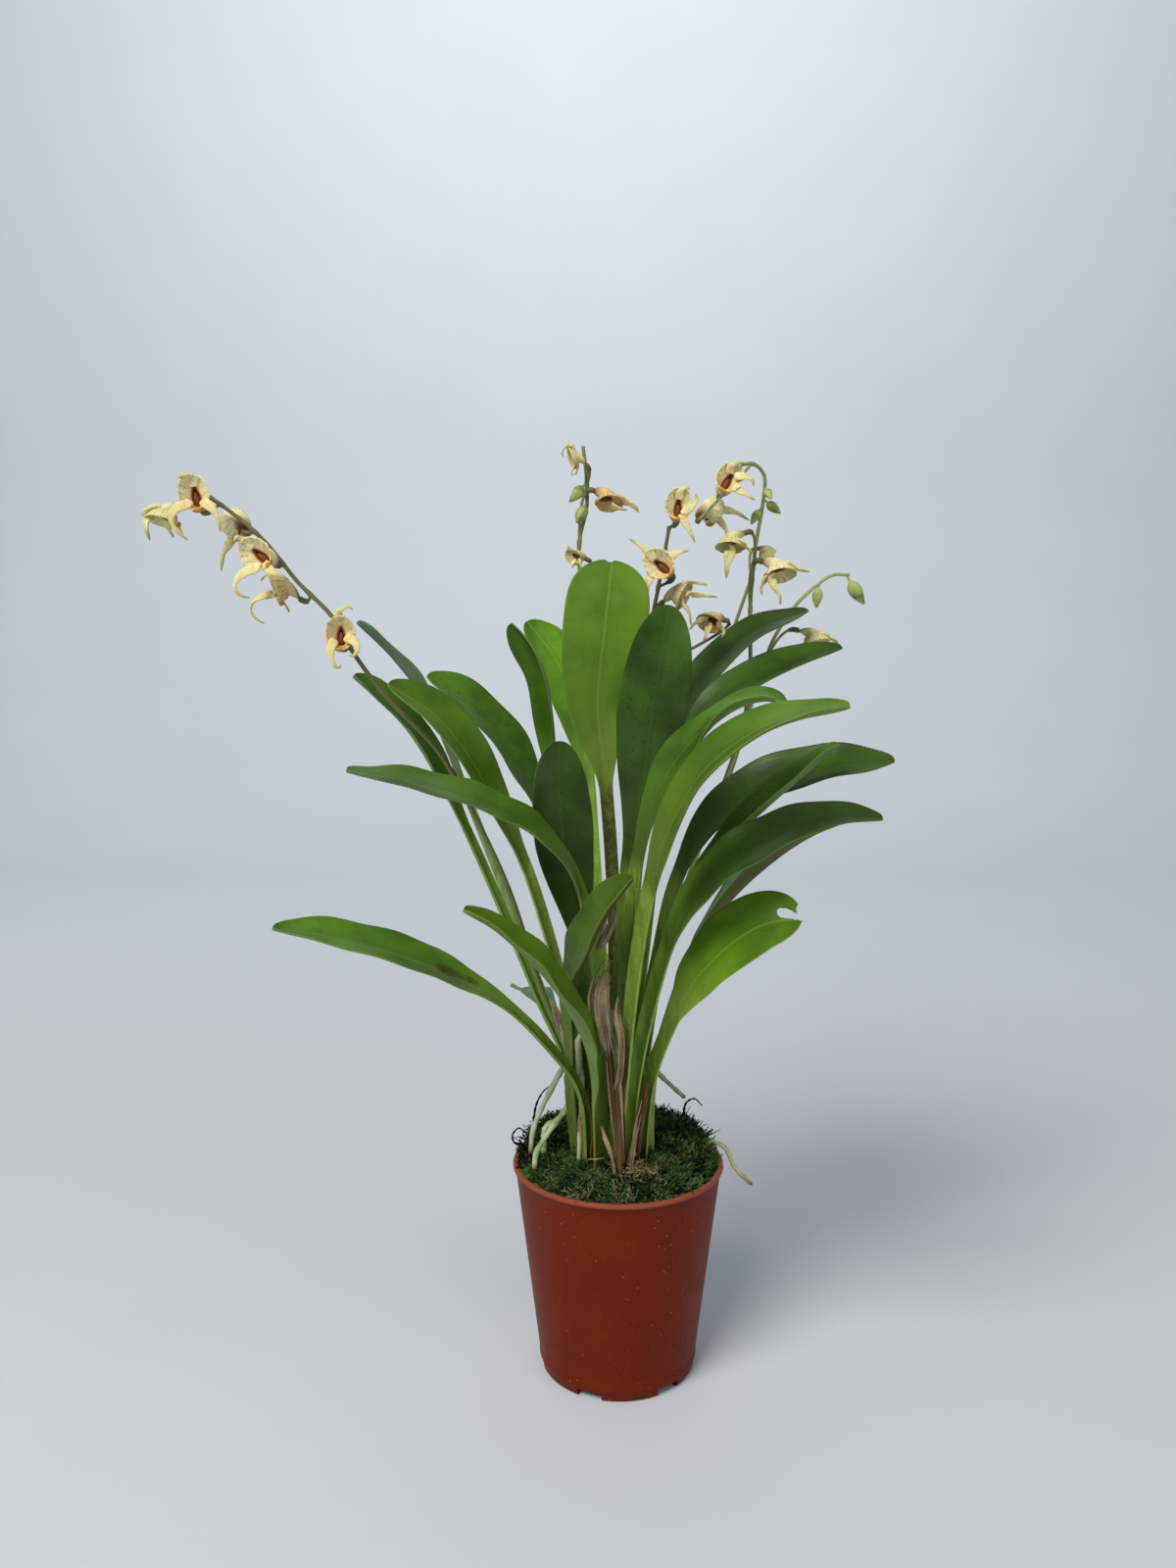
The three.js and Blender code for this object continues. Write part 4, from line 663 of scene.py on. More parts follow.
FLOWERS = [
    Flower("flower_left_1", 0, (-125, 5, 242), (-0.2, -0.3, -0.9), (-0.95, -0.1, 0.2), 0.95, 1, horn=2.5,
           green=0.35, tails=[
        [(-1.6, -0.5, 1.4), (-3, -1, 1.1), (-4.6, -1.5, -0.8), (-5.1, -1.5, -4), (-4.3, -1, -7)],
        [(1.5, 1, -2), (2.8, 2.4, -3.6), (3, 3.8, -5.4)],
        [(-0.5, 1.4, -2), (-0.2, 2.6, -3.8), (0.8, 3.4, -5.8)]]),
    Flower("flower_left_2", 0, (-113, -6, 246), (0.1, -1, -0.1), (-0.2, 0, 1), 1, 0.985, tails=[
        [(-0.7, -1.6, 4), (-2, -3.3, 4.5), (-2.9, -4.4, 3.4)],
        [(-1.7, -2, -2.8), (-4, -2.6, -3.9), (-5.9, -2.4, -6), (-5.6, -1.6, -8.8), (-4, -1, -10.6),
         (-2.2, -0.5, -12.2)],
        [(3.2, -2, -2.6), (5.1, -2.4, -4.1), (6.4, -2, -6.7), (6.7, -1, -10.1)]]),
    Flower("flower_left_3", 0, (-105, 5, 240), (-0.5, 0.8, -0.3), (-0.1, 0.2, 1), 1, 0.93, tails=[
        [(-0.9, 2.5, 3.4), (-1.5, 4, 4), (-2, 5.5, 3)],
        [(-2, 2, -3.6), (-3.6, 2.5, -5.8), (-5.2, 2.5, -8.5), (-5.8, 2, -13.3)],
        [(1.2, 3, -3.2), (1.8, 5, -5.5), (0.4, 6, -7.6)]]),
    Flower("flower_left_4", 0, (-96, -8, 230), (-0.1, -1, -0.1), (-0.75, 0.1, 0.65), 1, 0.88, tails=[
        [(-3.5, -1.5, 3.4), (-5, -3, 4.1), (-5.2, -4.5, 2.8)],
        [(-0.3, -2, -3.5), (-2.9, -2.6, -4.8), (-5.3, -2.6, -6.6), (-6.1, -2.2, -8.9), (-5, -1.6, -10.7),
         (-2.4, -1, -11.5)],
        [(2.5, -2, -3.5), (4.6, -2.5, -5), (6.4, -2, -5.8), (8, -1, -6.8)]]),
    Flower("flower_left_5", 0, (-93, 4, 222), (-0.9, -0.3, -0.3), (-0.3, 0, 0.95), 0.95, 0.83, green=0.15,
           tan=0.6, tails=[
        [(-2.6, -0.5, 2.7), (-4.5, -1, 3.3), (-5.6, -1.5, 1.9)],
        [(-2, -1, -1.7), (-5, -1.6, -2.2), (-8, -1.6, -3.9), (-8.8, -1.2, -6.6), (-7.5, -0.8, -8.5),
         (-5.3, -0.5, -9.8)],
        [(-1.5, 0.5, -2.2), (-0.1, 0.5, -4.1), (1.5, 0.5, -6.6)]]),
    Flower("flower_left_6", 0, (-74, -11, 209), (0.1, -1, -0.1), (0, 0, 1), 0.95, 0.75, tan=0.3, tails=[
        [(-0.3, -1.6, 5.2), (1, -3, 6.4), (2.8, -4, 7), (4.1, -4.5, 6)],
        [(-1.8, -2, -2.4), (-2.4, -2.6, -4.5), (-2, -2.4, -6.8), (-1.3, -2, -8.7), (-0.3, -1.8, -8.9),
         (0.2, -1.8, -8.1)],
        [(2.1, -2, -1.1), (4.1, -2.8, -2.2), (4.9, -3, -4), (3.6, -2.6, -5.8), (2.1, -2.2, -5.5)]]),
    Flower("flower_centre_top", 1, (-12, 9, 258), (-0.9, -0.2, -0.3), (-0.3, 0, 0.95), 0.6, 0.95, horn=2,
           green=0.55, tan=0.3, tails=[
        [(-1.3, -0.5, 3.2), (-3.1, -1, 2.7), (-3.9, -1.2, 1.1), (-3.4, -1.2, 0)],
        [(-0.5, -0.5, -2.2), (-1.2, -0.5, -4), (-1, -0.3, -5)],
        [(0.4, 0.5, -2.2), (0.2, 1, -3.6), (-0.3, 1, -4.6)]]),
    Flower("flower_centre_side", 1, (-3, 10, 247), (0.1, -0.6, -0.8), (0.97, 0, -0.2), 0.8, 0.87, horn=2.3,
           tan=0.75, tails=[
        [(2.4, -0.5, 0), (5.3, -0.8, -1.2), (7.5, -1, -2.5), (8.6, -1, -3.9)],
        [(1.2, -1.5, -2.2), (3.4, -2, -3.1), (5.3, -1.8, -3.3)],
        [(1, 1.5, -1.5), (3, 2, -2.2), (4.5, 2, -2.6)]]),
    Flower("flower_centre_low", 1, (-12, 8, 231), (-0.4, -0.8, -0.4), (-0.8, 0, 0.5), 0.55, 0.78, green=0.5,
           tails=[
        [(-1.3, -1, 1.8), (-2.1, -1.6, 2.5), (-2.3, -2, 1.5)],
        [(-0.6, -1.4, -1.5), (-1, -1.8, -2.6), (-0.6, -1.6, -3.4)],
        [(1, -1.2, -1.6), (1.4, -1.2, -2.6), (1.2, -1, -3.4)]]),
    Flower("flower_mid_right_top", 2, (16, 2, 244), (0, -1, 0), (0.05, 0, 1), 0.9, 1, tails=[
        [(0.5, -2, 3.5), (1.6, -3, 4.3), (2.9, -3.6, 4)],
        [(1.9, -2, -1.6), (3.7, -2.6, -0.5), (4.8, -2.8, 1.1), (4.5, -2.6, 3)],
        [(1.3, -2, -3.6), (2.7, -2.2, -6.4), (4, -1.8, -8.8), (4.5, -1.5, -10.1)]]),
    Flower("flower_mid_right_2", 2, (11, 1, 228), (-0.1, -1, 0), (-0.78, 0, 0.62), 0.95, 0.91, tails=[
        [(-3, -1.5, 3), (-5.7, -2, 5.2), (-8.4, -2, 6.8)],
        [(2.9, -1.5, 2.2), (5.3, -2, 3.3), (7.7, -2, 3.6)],
        [(-2.5, -1.5, -3.1), (-3.3, -1.6, -5.5), (-3.5, -1.2, -9)]]),
    Flower("flower_mid_right_3", 2, (16.5, 6, 220.5), (0.8, -0.4, -0.4), (0.2, 0, 0.95), 0.85, 0.86,
           horn=1.8, tan=0.3, tails=[
        [(1.4, -2, 2.4), (4.6, -3, 2.9), (7.9, -3.4, 2.1)],
        [(3, -2.5, -0.3), (6.6, -3.2, -0.6), (10.6, -3.2, -1.1)],
        [(1.6, -2, -2.8), (3, -2.4, -5.5), (3.5, -2, -8.5)]]),
    Flower("flower_mid_right_4", 2, (26.5, 13, 213.5), (-0.3, -0.7, -0.6), (-0.8, 0, 0.5), 0.78, 0.78,
           tan=0.5, tails=[
        [(-2.6, -1.5, 0.2), (-5, -2, -1.2), (-6.4, -2, -2.9)],
        [(-1, -2, -2), (-1.6, -2.4, -4.3), (-2.5, -2, -6.2)],
        [(2, -1.6, -1.5), (3.4, -1.8, -3.2), (2.8, -1.6, -5.1)]]),
    Flower("flower_right_top", 3, (32, 22, 254), (0, -1, 0.1), (0.5, 0, 0.85), 0.95, 1, tails=[
        [(0.5, -2, 3.5), (1.9, -3, 4.4), (3.3, -3.6, 4.1)],
        [(2.4, -2, 0.7), (4.7, -2.6, 0.4), (6.4, -2.6, -0.4), (7, -2.4, -2.1)],
        [(1.9, -2, -2.7), (4.7, -2.4, -4.4), (7.5, -2.2, -6.1)]]),
    Flower("flower_right_2", 3, (27, 29, 246.5), (0.6, 0.6, -0.2), (0, 0, 1), 0.95, 0.985, tails=[
        [(1.5, 2.5, 2.5), (3.2, 4, 3.4), (4.4, 5, 2.5)],
        [(3.6, 1, 0.2), (8.4, 2, -0.7), (12.4, 2, -3)],
        [(2.9, 1.5, -2.4), (5.2, 2, -5.3), (6.7, 1.6, -9.7)]]),
    Flower("flower_right_3", 3, (32.5, 18, 236), (-0.1, -0.4, -0.9), (-0.95, 0, -0.1), 0.85, 0.84, horn=2,
           green=0.7, tails=[
        [(-0.3, -1.5, -2.6), (-1.2, -1.8, -6.3), (-1.4, -1.4, -10.5)],
        [(2.1, -1.5, -1), (4.5, -1.8, -2.1), (6.2, -1.6, -3.8)],
        [(1.5, -2, 0), (3, -3, -0.5), (4, -3.4, -1.5)]]),
    Flower("flower_right_4", 3, (45, 36, 235), (0.4, 0.4, -0.8), (0.8, 0.3, 0.3), 0.6, 0.82, green=0.8,
           tails=[
        [(1.5, 1, -0.2), (2.7, 1.4, -1.7), (3, 1.4, -3.4)],
        [(0.5, 0, -1.6), (0.9, -0.4, -3.2), (0.3, -0.5, -4.6)],
        [(-0.6, 0.8, -1.6), (-1.2, 1.2, -3), (-1.2, 1.2, -4.2)]]),
    Flower("flower_right_5", 3, (47, 23, 228.6), (0.1, -0.5, -0.85), (0.95, 0, 0.15), 0.95, 0.78, horn=1.7,
           tails=[
        [(2.5, -1, 1.1), (5.3, -1.4, -0.1), (8.8, -1.4, -0.9)],
        [(-2.2, -1.6, -2.4), (-1.3, -2, -5.5), (0.2, -1.8, -7.8), (0.5, -1.4, -10.4)],
        [(-3.4, -1, -2.6), (-5, -0.6, -5.3), (-4.7, -0.4, -7.5)]]),
    Flower("flower_far_right", 5, (59, 30, 209), (0.2, -0.3, -0.9), (0.95, 0, 0.2), 0.85, 0.76, horn=2.2,
           green=0.4, tails=[
        [(2.3, -0.5, 0.7), (5.2, -0.8, -0.5), (7.2, -0.8, -1.7)],
        [(-2, -1.5, -1.5), (-3.1, -1.8, -3), (-1.8, -1.6, -3.9)],
        [(-1.6, 1, -1.5), (-2.6, 1.5, -3), (-1.8, 1.5, -3.9)]]),
]
print("flowers:", len(FLOWERS))


# %% Flower shape
def hood_point(angle, share, inset):
    height = HOOD_UP if math.cos(angle) > 0 else HOOD_DOWN
    return np.array([(HOOD_HALF_WIDTH - inset) * share * math.sin(angle),
                     -HOOD_DEPTH / 2 + HOOD_DEPTH * share ** 2.4 + inset * (1.2 - share),
                     (height - inset) * share * math.cos(angle)])


def slit_point(angle, grow, y):
    """The dark slit is a narrow drop: pointed above and widest where it runs into the chin."""
    down = -math.cos(angle)
    return np.array([grow * (0.85 + 0.4 * down) * math.sin(angle), y, -0.9 - 2.6 * grow * down])


def lip_point(t, c, s):
    return 0.85 * c * (1.25 - 0.55 * t), -0.1 + 0.7 * s, -3.3 + 3.7 * t


def chin_point(t, c, s):
    return 1.5 * (2 * t - 1), 1.9 + 0.75 * s, -4.2 + 0.75 * c


def pose(flower):
    """How the flower is turned and grown, and where its middle is."""
    mouth = unit(np.array(flower.mouth, float))
    across = unit(np.cross(mouth, np.array(flower.up, float)))
    turn = np.array([across, mouth, np.cross(across, mouth)]).T * flower.size
    return turn, np.array(flower.middle, float)


def placed(flower, p):
    turn, centre = pose(flower)
    return turn @ np.asarray(p, float) + centre


class Bloom(Skin):
    """A flower's skin. It is drawn upright, and each point is turned and placed as it comes."""

    def __init__(self, flower, rng):
        super().__init__()
        self.flower = flower
        self.turn, self.centre = pose(flower)
        self.ruffle = [rng.uniform(0, ROUND) for _ in range(3)]

    def keep(self, p, rim=0.0, tail=0.0, chin=0.0, slit=0.0, angle=0.0, out=1.0):
        p = np.array(p, float)
        self.point(self.turn @ p + self.centre, rim=rim, tail=tail, chin=chin, slit=slit, turn=angle, out=out,
                   low=smoothstep(-p[2], -0.5, 4.5), green=self.flower.green, tan=self.flower.tan)

    def frill(self, a):
        return 0.05 * math.sin(5 * a + self.ruffle[0]) + 0.05 * math.sin(13 * a + self.ruffle[1])

    def chin_ring(self, a, s):
        ring = JOINT + 0.75 * np.array([math.sin(a), -0.4 * math.cos(a), math.cos(a)])
        p = ring * (1 - s) + hood_point(a, 0.6, 0) * s
        p = p + 0.9 * math.sin(math.pi * s) * np.array([math.sin(a), -0.8, 0.3 * math.cos(a)])
        self.keep(p, chin=1 - smoothstep(s, 0.1, 0.75), angle=a)

    def bowl_ring(self, a, share):
        wave = 1 + 0.012 * math.sin(14 * a + self.ruffle[2]) + self.frill(a) * 0.25 * share ** 6
        self.keep(hood_point(a, share, 0) * wave, rim=share, angle=a)

    def rim_ring(self, a, place):
        self.keep(hood_point(a, *place) * (1 + 0.25 * self.frill(a)), rim=1.0, angle=a, out=0.5)

    def dish_ring(self, a, s):
        p = hood_point(a, 0.97, SHELL) * (1 - s) + slit_point(a, 1.0, 0) * s
        p[1] = 2.0 - 2.0 * math.sin(math.pi / 2 * s) ** 1.4
        p[1] += 0.16 * math.sin(7 * a + self.ruffle[1]) * math.sin(math.pi * s)
        self.keep(p, rim=1 - s, slit=smoothstep(s, 0.62, 1.0) * 0.7, angle=a, out=0.0)

    def slit_ring(self, a, place):
        self.keep(slit_point(a, *place), slit=1.0, angle=a, out=0.0)

    def hood(self):
        for ring, places in (
                (self.chin_ring, (0.0, 0.12, 0.28, 0.46, 0.64, 0.82)),
                (self.bowl_ring, (0.6, 0.68, 0.76, 0.84, 0.92, 0.98)),
                (self.rim_ring, ((1.0, 0.15), (0.985, 0.42))),
                (self.dish_ring, (0.08, 0.2, 0.34, 0.5, 0.66, 0.8, 0.91, 1.0)),
                (self.slit_ring, ((0.88, -0.3), (0.7, -0.9), (0.4, -1.25), (0.12, -1.4)))):
            for place in places:
                for a in turns(SPOKES):
                    ring(a, place)
        self.close_rings(len(self.points) // SPOKES, SPOKES)

    def tail(self, offsets, root, wide):
        """A flat tapering strap with a channel, from inside the hood to its tip."""
        back = np.linalg.inv(self.turn)
        path = [back @ np.array(offset, float) for offset in offsets]
        line = Line([path[0] * root] + path)
        for i in range(TAIL_RINGS):
            t = i / (TAIL_RINGS - 1)
            across = unit(np.cross(line.along(t), np.array([0, 1.0, 0.15])))
            through = np.cross(across, line.along(t))
            slim = 0.6 + 0.4 * math.sin(math.pi * min(1, t / 0.55))
            slim *= (1 - t) ** (0.5 if wide > 1.9 else 0.85)
            half = (wide * slim + 0.28) * math.sqrt(max(0.02, 1 - t ** 14))
            thick = 0.2 + 0.28 * half
            for a in turns(ROD_SIDES):
                w = math.cos(a)
                p = line.at(t) + across * half * w * (1 + 0.05 * math.sin(19 * t))
                p = p + through * (thick * math.sin(a) - 0.28 * half * (1 - w * w))
                self.keep(p, rim=1.0, tail=max(0.02, t), angle=3 * w, out=0.5)
        self.close_rings(TAIL_RINGS, ROD_SIDES)

    def pad(self, place, start, power, **look):
        """A small rod with round ends, whose rings shrink toward both."""
        for i in range(LIP_RINGS):
            t = i / (LIP_RINGS - 1)
            size = math.sin(math.pi * (start + (1 - 2 * start) * t)) ** power
            for a in turns(ROD_SIDES):
                self.keep(place(t, size * math.cos(a), size * math.sin(a)), out=0.0, **look)
        self.close_rings(LIP_RINGS, ROD_SIDES)

    def mouth(self):
        """The lip that stands in the slit, and the dark chin across the foot of the mouth."""
        self.pad(lip_point, 0.08, 0.6, slit=0.62)
        self.pad(chin_point, 0.06, 0.7, chin=1.0)


# %% Flower finish
def petal_material():
    """Fleshy petal tissue: matt, a little see-through, cream with broken brown lines and a yellow throat."""
    m = Finish("fleshy_petal", 0.55, specular=0.3, glow=0.25, reach=(0.0015, 0.0012, 0.0006))
    rim, tail, inside = m.read("rim"), m.read("tail"), m.math("SUBTRACT", 1.0, m.read("out"))
    m.colour = m.mix(m.noise(2.0), "ECE6BE", "D8CC8C")
    m.paint("E3A63A", m.read("low"), m.step(rim, 0.1, 0.5), inside, 0.9)
    m.paint("C7A27C", m.patches(3.5, 0.45, 0.68), 0.3)
    m.paint("C48E4C", m.read("tan"), 0.8)
    m.paint("BFC06A", m.read("green"), 0.75)
    wave = m.math("SINE", m.times(m.read("turn"), 15.0))
    lines = m.times(m.step(wave, 0.5, 0.95), m.patches(0.7, 0.45, 0.6, detail=2), m.step(tail, 0.01, 0.0))
    marks = m.math("MAXIMUM", m.spots(0.6, 0.08), lines)
    marks = m.times(marks, m.step(rim, 0.25, 0.7), m.step(tail, 0.7, 0.2))
    m.paint("84502A", marks, 0.6)
    m.paint("DCD494", m.step(tail, 0.02, 0.3), 0.75)
    m.paint("A88A58", m.patches(1.2, 0.5, 0.68, detail=4), m.step(tail, 0.0, 0.3), 0.4)
    m.paint("A39A4C", m.step(tail, 0.6, 1.0))
    m.paint("5E2A1E", m.read("chin"))
    m.paint("CFA048", inside, m.step(rim, 0.5, 0.05), 0.6)
    m.paint("6C3012", m.step(m.read("slit"), 0.12, 0.7))
    return m.done(m.plus(m.noise(0.5, detail=2), marks), 0.07)


PETAL = petal_material()
flower_rng = random.Random(5)
for flower in FLOWERS:
    bloom = Bloom(flower, flower_rng)
    bloom.hood()
    widths = (flower.horn, LOWER_TAIL_HALF_WIDTH, LOWER_TAIL_HALF_WIDTH)
    for offsets, root, wide in zip(flower.tails, TAIL_ROOTS, widths):
        bloom.tail(offsets, root, wide)
    bloom.mouth()
    bloom.piece("fine_" + flower.name, PETAL, "petal", [flower.name])
count("flower")

# %% [markdown]
# ## Stems, buds and the flowers' own stalks
# A flower stem is a wiry round rod with a few joint rings. It is drawn as a tube along the same line as the
# solid stem. Each flower's own short stalk leaves it at a joint and swells into
# the dark green ovary just behind the flower. The mesh stores what each point belongs to: the stem is of
# kind 0, a stalk turns from 0 to 1 where it swells into the ovary, and a bud is of kind 2.

# %% Stem rows
STEM_FOOT_RADIUS, STEM_TIP_RADIUS = 1.1, 0.5
BARE_JOINTS = [0.3, 0.55]
# Name, foot, how pale, the rest of the line, and the buds: where on the stem, which way, and how long
STEM_ROWS = [
    ("stem_left", (-13, 4.5), 0, [(-13, 5, 84), (-22, 5, 108), (-31, 4, 137), (-40, 2, 158), (-49, -2, 176),
     (-64, -5, 193), (-72, -5, 204), (-78, -4, 214), (-87, -3, 223), (-96, -2, 234), (-104, -1, 241),
     (-111, 0, 246)], []),
    ("stem_centre", (-4, 3.5), 0.3, [(-3, 6, 87), (-2, 9, 116), (-3, 11, 150), (-5, 12, 184), (-9, 13, 209),
     (-11, 14, 228), (-11, 14, 236), (-9, 14, 245), (-9, 14, 253), (-10, 14, 262)],
     [(0.952, (-0.6, -0.3, -0.7), 2.6), (0.927, (-0.35, -0.5, -0.8), 2.7)]),
    ("stem_mid_right", (0.5, 5), 0, [(2, 6, 88), (3, 8, 116), (4, 10, 150), (6, 10, 184), (9, 9, 211),
     (11, 8, 222), (13, 8, 233), (14, 8, 239)], []),
    ("stem_right", (5, 15.8), 0.45, [(7, 18, 85), (11, 21, 113), (18, 25, 136), (29, 27, 156),
     (37, 29, 177), (40, 30, 197), (40, 31, 218), (41, 29, 235), (43, 28, 249), (43, 27, 256),
     (40, 26, 259), (36, 26, 259)], [(0.93, (0.6, 0, -0.5), 2.2), (0.92, (-0.5, 0.2, -0.8), 2),
     (0.945, (0.2, -0.6, -0.6), 1.8)]),
    ("stem_right_bare", (1, 17), 0.6, [(3, 21, 84), (6, 27, 112), (12, 33, 141), (20, 37, 167),
     (29, 38, 191), (36, 38, 212), (41, 37, 227)], []),
    ("stem_far_right", (8.3, 11.8), 0.85, [(9, 13, 86), (14, 16, 114), (21, 20, 137), (30, 22, 161),
     (38, 25, 183), (43, 30, 197), (48, 35, 209), (54, 37, 218), (60, 38, 224), (66, 38, 228),
     (71, 38, 228)], [(0.95, (-0.1, 0, -1), 2.5), (0.995, (0.55, 0, -0.85), 3.5)]),
]


# %% Stem shape and finish
def own_share(t):
    """The note that says how far along its line a point lies."""
    return t


def bezier(start, bend, end):
    ts = np.linspace(0, 1, 9)
    return Line([(1 - t) ** 2 * start + 2 * t * (1 - t) * bend + t * t * end for t in ts])


def add_stalk(skin, line, flower, pale):
    """The flower's own stalk, which swells into the ovary."""
    end = placed(flower, JOINT)
    inward = unit(placed(flower, (0, -1.9, -2.2)) - end)
    start = line.at(flower.share)
    stalk = bezier(start, end - inward * 0.35 * np.linalg.norm(start - end), end)
    ovary = min(0.75, 4.5 * flower.size / stalk.length)
    swell = lambda t: 0.42 + 0.45 * flower.size * smoothstep(t, 1 - ovary, 1 - ovary * 0.55)
    skin.tube(stalk, rings=24, sides=10, radius=swell, share=flower.share,
              kind=lambda t: smoothstep(t, 1 - ovary, 1 - ovary * 0.6), pale=pale)


def add_bud(skin, line, bud, pale):
    share, out, long = bud
    start, out = line.at(share), unit(np.array(out, float))
    fat = lambda t: 0.3 + long * 0.5 * max(0.0, math.sin(math.pi * max(0.0, (t - 0.22) / 0.78) ** 0.7))
    middle = Line([start, start + out * long * 1.5, start + out * long * 3])
    skin.tube(middle, rings=34, sides=18, radius=fat, ribs=0.13, share=share, kind=2.0, pale=pale)


def stem_skin(index, row):
    _, foot, pale, path, buds = row
    line = Line([(*foot, STALK_FOOT)] + path)
    flowers = [flower for flower in FLOWERS if flower.stem == index]
    joints = [flower.share for flower in flowers] + BARE_JOINTS

    def radius(t):
        joint = sum(0.2 * math.exp(-((t - place) * line.length / 0.9) ** 2) for place in joints)
        return STEM_FOOT_RADIUS + (STEM_TIP_RADIUS - STEM_FOOT_RADIUS) * t ** 0.7 + joint

    skin = Skin()
    skin.tube(line, rings=180, sides=12, radius=radius, share=own_share, kind=0.0, pale=pale)
    for flower in flowers:
        add_stalk(skin, line, flower, pale)
    for bud in buds:
        add_bud(skin, line, bud, pale)
    return skin


def stem_material():
    """Green stem skin, browned and speckled, with a dull wax."""
    m = Finish("wiry_stem", 0.5, ior=1.45)
    kind = m.read("kind")
    m.colour = m.mix(m.read("share"), "677C38", "57562C")
    m.paint("66482E", m.patches(5, 0.45, 0.7, detail=4), 0.5)
    m.paint("98A860", m.read("pale"))
    m.paint("3C2A1A", m.spots(0.9, 0.2), 0.5)
    m.paint("5A5A2C", m.step(kind, 0.0, 1.0))
    m.paint(m.mix(m.patches(2.5, 0.45, 0.65), "98A458", "6E743A"), m.step(kind, 1.1, 1.9))
    return m.done(m.noise(0.7), 0.08)


STEM = stem_material()
for index, row in enumerate(STEM_ROWS):
    stem_skin(index, row).piece("fine_" + row[0], STEM, "flower_stem", [row[0]])
count("stem")

# %% [markdown]
# ## Air roots
# An orchid's root is a thin wire inside a thick spongy coat, silvery white when dry and green where it is
# damp. It swells and kinks as it feels its way, so the tube's radius wanders a little.

# %% Root rows, shape and finish
# Name, radius, how tan it has dried, lines
ROOT_ROWS = [
    ("root_left_thin", 0.9, 0.15,
     [[(-9.5, -1, 98), (-14.7, -1.5, 89), (-19.7, -2.5, 80), (-24, -3, 70), (-25, -3, 62)],
      [(-11.5, -1.5, 95), (-10.2, -9.6, 84), (-10.6, -10.4, 73), (-11.2, -10.6, 62)]]),
    ("root_left_branched", 0.95, 0.1,
     [[(-14.5, 1.5, 84), (-14.6, -3, 76.5), (-17.7, -6, 73), (-21, -9, 69.2), (-23, -10.7, 66),
       (-23.5, -11, 61)],
      [(-17.7, -6, 73), (-20.2, -5.6, 71.8), (-21, -5.8, 67), (-21, -6, 61.5)]]),
    ("root_right_air", 0.8, 0.25, [[(8.5, 3.2, 88), (12, 7, 82.5), (16, 9, 78), (20, 10, 74)]]),
    ("root_over_rim", 0.75, 0.85,
     [[(24, 6, 60), (28, 5, 62.6), (31.5, 4, 61), (33.5, 3.5, 56.5), (36, 3, 53.5), (39, 2, 51)]]),
]


def root_material():
    """Velamen: a spongy, paper-dry coat, so it is matt and a little chalky."""
    m = Finish("spongy_root_coat", 0.75)
    damp = m.patches(6, 0.4, 0.65)
    m.colour = m.mix(damp, "B9C6A4", "86A06C")
    m.paint("6E7A48", m.patches(5, 0.55, 0.7, detail=4), 0.6)
    m.paint(m.mix(damp, "B0A47C", "8A7A54"), m.read("dried"))
    m.paint("5A4A30", m.spots(1.3, 0.2), 0.4)
    m.paint("6A5030", m.step(m.read("share"), 0.88, 1.0))
    return m.done(m.noise(0.8, detail=4), 0.15)


def root_radius(radius, k):
    """The radius along a root's k-th line: it thins, swells and kinks, and ends in a point."""
    def along(t):
        kinks = 1 + 0.10 * math.sin(17 * t + k) + 0.08 * math.sin(41 * t + 2 * k) + 0.04 * math.sin(90 * t)
        return radius * (1 - 0.25 * t) * kinks * (1 - 0.85 * smoothstep(t, 0.975, 1))
    return along


ROOT = root_material()
for name, radius, dried, lines in ROOT_ROWS:
    skin = Skin()
    for k, line in enumerate(lines):
        skin.tube(Line(line), rings=90, sides=14, radius=root_radius(radius, k), share=own_share, dried=dried)
    skin.piece("fine_" + name, ROOT, "air_root", [name])
count("root")

# %% [markdown]
# ## Dry sheaths
# Every stalk starts inside a papery sheath that dries to a brown husk and splits along its fibres. A smooth
# strip would look like one more leaf, so each husk is a bundle of narrow torn strips: they start together,
# lie at slightly different depths, and end raggedly. Each strip has its own tone, from bleached beige to
# dark brown.

# %% Sheath shape
STRIP_STEPS, STRIP_COLUMNS, HALF_PAPER = 26, (-1, -0.5, 0, 0.5, 1), 0.11
FIBRE_SPACING = 0.34


def add_strip(skin, line, width, shift, depth, start, end, twist, tone):
    """One thin torn strip of a husk, a little cupped, that runs along part of the husk's middle line."""
    for i in range(STRIP_STEPS + 1):
        s = i / STRIP_STEPS
        t = start + (end - start) * s
        along = line.along(t)
        across = unit(np.cross(along, np.array([0, -1.0, 0])))
        out = np.cross(across, along)
        roll = twist * math.sin(5 * t + 9 * tone)
        c, sine = math.cos(roll), math.sin(roll)
        across, out = across * c + out * sine, out * c - across * sine
        half = width / 2 * (0.75 + 0.3 * math.sin(8 * t + 20 * tone))
        half *= min(1.0, 0.25 + 2.2 * (1 - s)) * min(1.0, 0.4 + 4 * s)
        middle = line.at(t) + across * shift * (1 + 0.2 * math.sin(6 * t + 5 * tone))
        middle = middle + out * (depth + 0.35 * math.sin(7 * t + 13 * tone))
        for side, columns in ((1, STRIP_COLUMNS), (-1, STRIP_COLUMNS[::-1])):
            for v in columns:
                p = middle + across * v * half + out * (side * HALF_PAPER - 0.5 * half * v * v)
                skin.point(p, rib=v * half + 3 * tone, tone=tone)
    skin.close_rings(STRIP_STEPS + 1, 2 * len(STRIP_COLUMNS))


